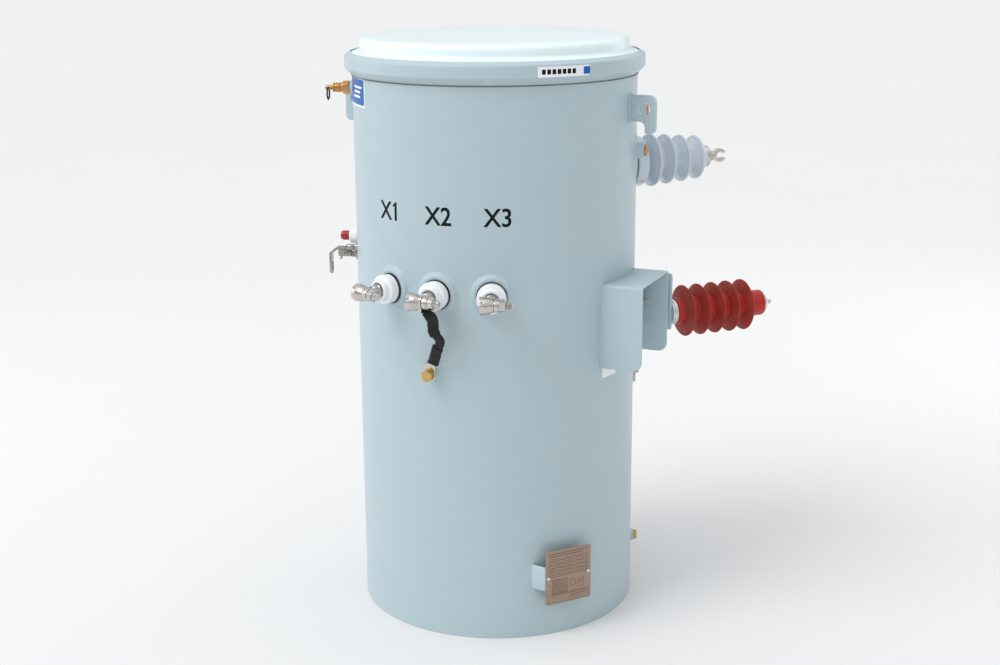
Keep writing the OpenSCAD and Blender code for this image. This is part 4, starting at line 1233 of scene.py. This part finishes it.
class TRANSFORMER_OT_nameplate(Maker, bpy.types.Operator):
    """Builds the nameplate with its etched table, its rivets and the bent bracket behind it"""
    bl_idname = "transformer.nameplate"
    bl_label = "Nameplate"

    def build(self):
        at = outward(PLATE_AZ, PLATE_Z)
        width, height, face, thick = 90, 100, 16.8, 1.5
        half, tall = width / 2, 44
        foot = half + 17
        strip = plate([(-foot - 0.5, -12), (-half - 2, face, 4), (half + 2, face, 4), (foot + 0.5, -12),
                       (foot - 2.5, -12), (half + 0.5, face - 2.5, 2), (-half - 0.5, face - 2.5, 2),
                       (-foot + 2.5, -12)], tall, edge=0)
        strip.transform(at @ move(0, tall / 2, 0) @ turn(90, "X"))
        strip = bevel_sharp(carve_wall(strip), 0.5, limit=40)
        painted("nameplate_bracket", strip, replaces=("plate_bracket",))
        front, rivet_x = face + SEAM, half - 5
        panel = plate(box_outline(width, height, mm("plate_corner")), thick - 0.2,
                      holes=[circle(2.2, -rivet_x), circle(2.2, rivet_x)], edge=0.25)
        piece("nameplate_panel", panel, plate_metal(), at @ move(z=front),
              replaces=("nameplate",))
        piece("nameplate_etching", self.marks(), etching(), at @ move(z=front + thick - 0.2))
        rivets = bmesh.new()
        for side in (-1, 1):
            put(rivets, lathe([(0, -1), (2, -1), (2, 0.2), (3.2, 0.25, 0.2), (2.8, 1.2, 0.8), (0, 1.6)], 32),
                move(side * rivet_x, 0, front + thick - 0.2))
        piece("nameplate_rivets", rivets, aluminium(), at)

    def marks(self):
        """Plain table lines, dashes in place of writing, and two small winding diagrams."""
        whole = bmesh.new()

        def bar(x, y, width, height):
            put(whole, plate(box_outline(width, height, x=x, y=y), PRINT, edge=0))

        def frame_lines(left, bottom, right, top, line=0.5):
            for y in (bottom, top):
                bar((left + right) / 2, y, right - left + line, line)
            for x in (left, right):
                bar(x, (bottom + top) / 2, line, top - bottom - line)

        def dashes(left, right, y, height, seed):
            x, step = left, 0
            while x < right - 1.5:
                length = 1.6 + 2.6 * abs(math.sin(seed * 12.9 + step * 4.7))
                length = min(length, right - x)
                bar(x + length / 2, y, length, height)
                x += length + 1.1
                step += 1

        for row, (left, right) in enumerate(((-38, 38), (-38, 30))):
            dashes(left, right, 44 - row * 4.2, 1.7, row + 1)
        frame_lines(-39, 1, 39, 35)
        for y in (8, 14.5, 21, 28):
            bar(0, y, 78, 0.35)
        for x in (-24, -4, 14):
            bar(x, 18, 0.35, 34)
        for row, y in enumerate((4.5, 11.2, 17.8, 24.5, 31.5)):
            for column, (left, right) in enumerate(((-37, -26), (-22, -6), (-2, 12), (16, 37))):
                dashes(left, right, y, 1.5, row * 5 + column)
        frame_lines(-33, -34, -2, -4)
        for i in range(6):
            bar(-28.6 + i * 4.4, -19, 0.3, 30)
        for row in range(8):
            dashes(-32, -3, -6.2 - row * 3.6, 1.1, row * 3 + 2)
        star = move(9, -15)
        put(whole, lathe([(5.4, 0), (6.2, 0), (6.2, PRINT), (5.4, PRINT)], 40, closed=True), star)
        for angle in (-150, -90, -30):
            put(whole, plate(box_outline(3.4, 0.7, x=7.4), PRINT, edge=0), star @ turn(angle, "Z"))
        frame_lines(19, -26, 31, -12)
        for x in (22, 25, 28):
            put(whole, lathe([(1, 0), (1.5, 0), (1.5, PRINT), (1, PRINT)], 20, closed=True), move(x, -16))
        bar(19, -9, 0.5, 6)
        bar(31, -9, 0.5, 6)
        dashes(-2, 38, -33, 1.6, 31)
        dashes(4, 36, -37.5, 1.4, 37)
        dashes(6, 30, -42, 1.2, 41)
        frame_lines(-41, -47, 41, -30.5, 0.4)
        return whole


class TRANSFORMER_OT_hangers(Maker, bpy.types.Operator):
    """Builds the two slotted pole hangers at the back"""
    bl_idname = "transformer.hangers"
    bl_label = "Pole hangers"

    def build(self):
        width = (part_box("hanger_upper")[1].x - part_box("hanger_upper")[0].x) * 1000
        thick, half = 6, width / 2
        slot_r, slot_half = 9, 22
        for name in ("upper", "lower"):
            node = "hanger_" + name
            tall = high_edge(node, 2) - low_edge(node, 2)
            at = outward(HANGER_AZ, middle(node, 2), 0)
            root = 215
            channel = plate([(-half, root), (-half, HANGER_REACH, 10), (half, HANGER_REACH, 10), (half, root),
                             (half - thick, root), (half - thick, HANGER_REACH - thick, 4),
                             (-half + thick, HANGER_REACH - thick, 4), (-half + thick, root)], tall, edge=0)
            channel.transform(move(0, tall / 2, 0) @ turn(90, "X"))
            slot = plate(box_outline(2 * slot_r, 2 * slot_half, slot_r), 40, edge=0, segments=10)
            slot.transform(move(z=HANGER_REACH - 20))
            shape = carve(channel, slot)
            shape.transform(at)
            shape = bevel_sharp(carve_wall(shape), 0.8, limit=40)
            painted("pole_hanger_" + name, shape, replaces=(node,))
            welds = bmesh.new()
            wall = outward(HANGER_AZ, middle(node, 2))
            for side in (-1, 1):
                for x in (half + 0.4, half - thick - 0.4):
                    put(welds, wall_weld(side * x, -tall / 2 + 1, tall / 2 - 1, mm("weld_leg"), 0.8), wall)
            painted("pole_hanger_welds_" + name, welds)


class TRANSFORMER_OT_markings(Maker, bpy.types.Operator):
    """Builds the terminal marks and the plain labels"""
    bl_idname = "transformer.markings"
    bl_label = "Marks and labels"

    def build(self):
        radius = mm("tank_radius")
        for number, az in enumerate(MARK_AZ, 1):
            mark = self.lettering("X%d" % number)
            if number == 1:
                right, top = max(v.co.x for v in mark.verts), mm("mark_height") / 2
                flag = [(right - 2, top), (right - 3, top), (right - 9, top - 5), (right - 9, top - 8.5),
                        (right - 2, top - 4)]
                put(mark, plate(flag, INK, edge=0))
            piece("terminal_mark_%d" % number, wrap(mark, az, MARK_Z, radius + INK, 3), ink())
        self.band_labels(high_edge("cover_gasket", 0) + SEAM + 3, COVER_Z + 3)
        self.side_labels(radius)
        self.label("small_label", 40, 34, SMALL_LABEL_AZ, SMALL_LABEL_Z, radius + FILM, label_white())

    def band_labels(self, reach, z):
        """A white strip with dark bars on the band, and a blue square at its right end."""
        self.label("band_label", 94, 17, BAND_LABEL_AZ, z, reach + FILM, label_white())
        bars = bmesh.new()
        for k in range(7):
            put(bars, plate(box_outline(6.5, 8, 1, x=-37 + k * 9), PRINT, edge=0))
        piece("band_label_bars", wrap(bars, BAND_LABEL_AZ, z, reach + 0.3), ink())
        self.label("band_label_square", 13, 12, BAND_SQUARE_AZ, z, reach + 0.3, label_blue())

    def side_labels(self, radius):
        """A white label with a blue panel and three white stripes on it."""
        wide, tall = 110, 50
        az = SIDE_LABEL_EDGE_AZ - math.degrees(wide / 2 / radius)
        self.label("side_label", wide, tall, az, SIDE_LABEL_Z, radius + FILM, label_white())
        self.label("side_label_panel", wide - 7, tall - 7, az, SIDE_LABEL_Z, radius + 0.32, label_blue())
        stripes = bmesh.new()
        for k, length in enumerate((44, 36, 40)):
            put(stripes, plate(box_outline(length, 4, 1.5, x=20 - k * 3, y=8 - k * 8), PRINT, edge=0))
        piece("side_label_stripes", wrap(stripes, az, SIDE_LABEL_Z, radius + 0.5), label_white())

    def lettering(self, words):
        """A mark as a flat shape of the set height, centred on its own middle."""
        curve = bpy.data.curves.new(words, "FONT")
        curve.body = words
        curve.offset = 0.014
        holder = bpy.data.objects.new(words, curve)
        bpy.context.scene.collection.objects.link(holder)
        mesh = bpy.data.meshes.new_from_object(holder.evaluated_get(bpy.context.evaluated_depsgraph_get()))
        bpy.data.objects.remove(holder)
        bpy.data.curves.remove(curve)
        bm = bmesh.new()
        bm.from_mesh(mesh)
        bpy.data.meshes.remove(mesh)
        bmesh.ops.remove_doubles(bm, verts=bm.verts, dist=1e-5)
        low = Vector((min(v.co.x for v in bm.verts), min(v.co.y for v in bm.verts), 0))
        high = Vector((max(v.co.x for v in bm.verts), max(v.co.y for v in bm.verts), 0))
        scale = mm("mark_height") / (high.y - low.y)
        bm.transform(Matrix.Diagonal((scale * 0.92, scale, 1, 1)) @ Matrix.Translation(-(low + high) / 2))
        thicken(bm, bm.faces[:], INK)
        return bm

    def label(self, name, width, height, az, z, reach, material):
        shape = plate(box_outline(width, height, 1.5), FILM, edge=0)
        piece(name, wrap(shape, az, z, reach), material)


class TRANSFORMER_OT_stage(Maker, bpy.types.Operator):
    """Builds the pale floor, the soft lights and the camera"""
    bl_idname = "transformer.stage"
    bl_label = "Stage"

    camera_az = 23.2
    camera_distance = 2748.2
    camera_height = 1220

    def build(self):
        scene = bpy.context.scene
        bm = bmesh.new()
        bmesh.ops.create_circle(bm, cap_ends=True, segments=64, radius=60)
        mesh = bpy.data.meshes.new("floor")
        bm.to_mesh(mesh)
        bm.free()
        floor = bpy.data.objects.new("floor", mesh)
        scene.collection.objects.link(floor)
        mesh.materials.append(finish("pale_floor", colours().floor, (0.75, 0.9), mottle=0.006, patch=0.7,
                                     grain=30.0, grain_depth=0.0))
        self.lights(scene)
        self.camera(scene)

    def lights(self, scene):
        world = bpy.data.worlds.new("soft_room")
        world.use_nodes = True
        tree = world.node_tree
        back = tree.nodes["Background"]
        back.inputs["Color"].default_value = (0.97, 0.985, 1.0, 1)
        # An open sky: brightest overhead and dim towards the horizon, but plain where the camera sees it.
        height = tree.nodes.new("ShaderNodeSeparateXYZ")
        tree.links.new(tree.nodes.new("ShaderNodeTexCoord").outputs["Generated"], height.inputs["Vector"])
        seen, brightest = (tree.nodes.new("ShaderNodeMath") for _ in range(2))
        seen.operation, brightest.operation = "MULTIPLY", "MAXIMUM"
        seen.inputs[1].default_value = 0.9
        tree.links.new(tree.nodes.new("ShaderNodeLightPath").outputs["Is Camera Ray"], seen.inputs[0])
        tree.links.new(seen.outputs[0], brightest.inputs[0])
        tree.links.new(ranged(tree, height.outputs["Z"], 0, 1, 0.46, 1.1), brightest.inputs[1])
        tree.links.new(brightest.outputs[0], back.inputs["Strength"])
        scene.world = world
        sun = bpy.data.lights.new("soft_key", "SUN")
        sun.energy = 1.25
        sun.angle = math.radians(35)
        sun.color = (1.0, 0.99, 0.975)
        light = bpy.data.objects.new("soft_key", sun)
        light.rotation_euler = (math.radians(42), 0, math.radians(-38))
        scene.collection.objects.link(light)
        for name, place, size, power in (("left_panel", (-2.8, -0.6, 1.3), 1.5, 9),
                                         ("rear_panel", (1.6, 2.6, 1.6), 1.6, 8)):
            data = bpy.data.lights.new(name, "AREA")
            data.shape = "SQUARE"
            data.size = size
            data.energy = power
            light = bpy.data.objects.new(name, data)
            light.location = place
            light.rotation_euler = (Vector((0, 0, 0.6)) - Vector(place)).to_track_quat("-Z", "Y").to_euler()
            scene.collection.objects.link(light)
        scene.view_settings.view_transform = "Standard"

    def camera(self, scene):
        """The camera stands in front, a little to the right, and looks slightly down."""
        data = bpy.data.cameras.new("camera")
        data.sensor_width = 36
        data.lens = 55.77
        data.clip_start, data.clip_end = 0.05, 200
        camera = bpy.data.objects.new("camera", data)
        pitch, yaw, roll = (math.radians(v) for v in (14.859, 0.122, -0.385))
        ahead = Vector((math.sin(yaw) * math.cos(pitch), math.cos(yaw) * math.cos(pitch), -math.sin(pitch)))
        right = Vector((math.cos(yaw), -math.sin(yaw), 0))
        above = right.cross(ahead)
        side = math.cos(roll) * right + math.sin(roll) * above
        above = -math.sin(roll) * right + math.cos(roll) * above
        facing = Matrix((side, above, -ahead)).transposed().to_4x4()
        spot = Vector((0, -self.camera_distance, self.camera_height)) / 1000
        camera.matrix_world = turn(self.camera_az, "Z") @ Matrix.Translation(spot) @ facing
        scene.collection.objects.link(camera)
        scene.camera = camera


STEPS = (TRANSFORMER_OT_stage, TRANSFORMER_OT_tank, TRANSFORMER_OT_cover, TRANSFORMER_OT_low_voltage,
         TRANSFORMER_OT_ground_strap, TRANSFORMER_OT_high_voltage, TRANSFORMER_OT_arrester,
         TRANSFORMER_OT_hood, TRANSFORMER_OT_lifting_lugs, TRANSFORMER_OT_side_fittings,
         TRANSFORMER_OT_relief_valve, TRANSFORMER_OT_signal_light, TRANSFORMER_OT_switch,
         TRANSFORMER_OT_nameplate, TRANSFORMER_OT_hangers, TRANSFORMER_OT_markings)


class TRANSFORMER_PT_panel(bpy.types.Panel):
    """Lists the build steps, the sizes and the colours"""
    bl_idname = "TRANSFORMER_PT_panel"
    bl_label = "Transformer"
    bl_space_type = "VIEW_3D"
    bl_region_type = "UI"
    bl_category = "Transformer"

    def draw(self, context):
        for step in STEPS:
            self.layout.operator(step.bl_idname)
        for group in (context.scene.transformer_sizes, context.scene.transformer_colours):
            for name in group.__annotations__:
                self.layout.prop(group, name)


CLASSES = (TransformerSizes, TransformerColours, *STEPS, TRANSFORMER_PT_panel)


def register():
    for cls in CLASSES:
        bpy.utils.register_class(cls)
    bpy.types.Scene.transformer_sizes = bpy.props.PointerProperty(type=TransformerSizes)
    bpy.types.Scene.transformer_colours = bpy.props.PointerProperty(type=TransformerColours)


def unregister():
    del bpy.types.Scene.transformer_colours
    del bpy.types.Scene.transformer_sizes
    for cls in reversed(CLASSES):
        bpy.utils.unregister_class(cls)


def main():
    register()
    for step in STEPS:
        getattr(bpy.ops.transformer, step.bl_idname.split(".")[1])()


if __name__ == "__main__":
    main()
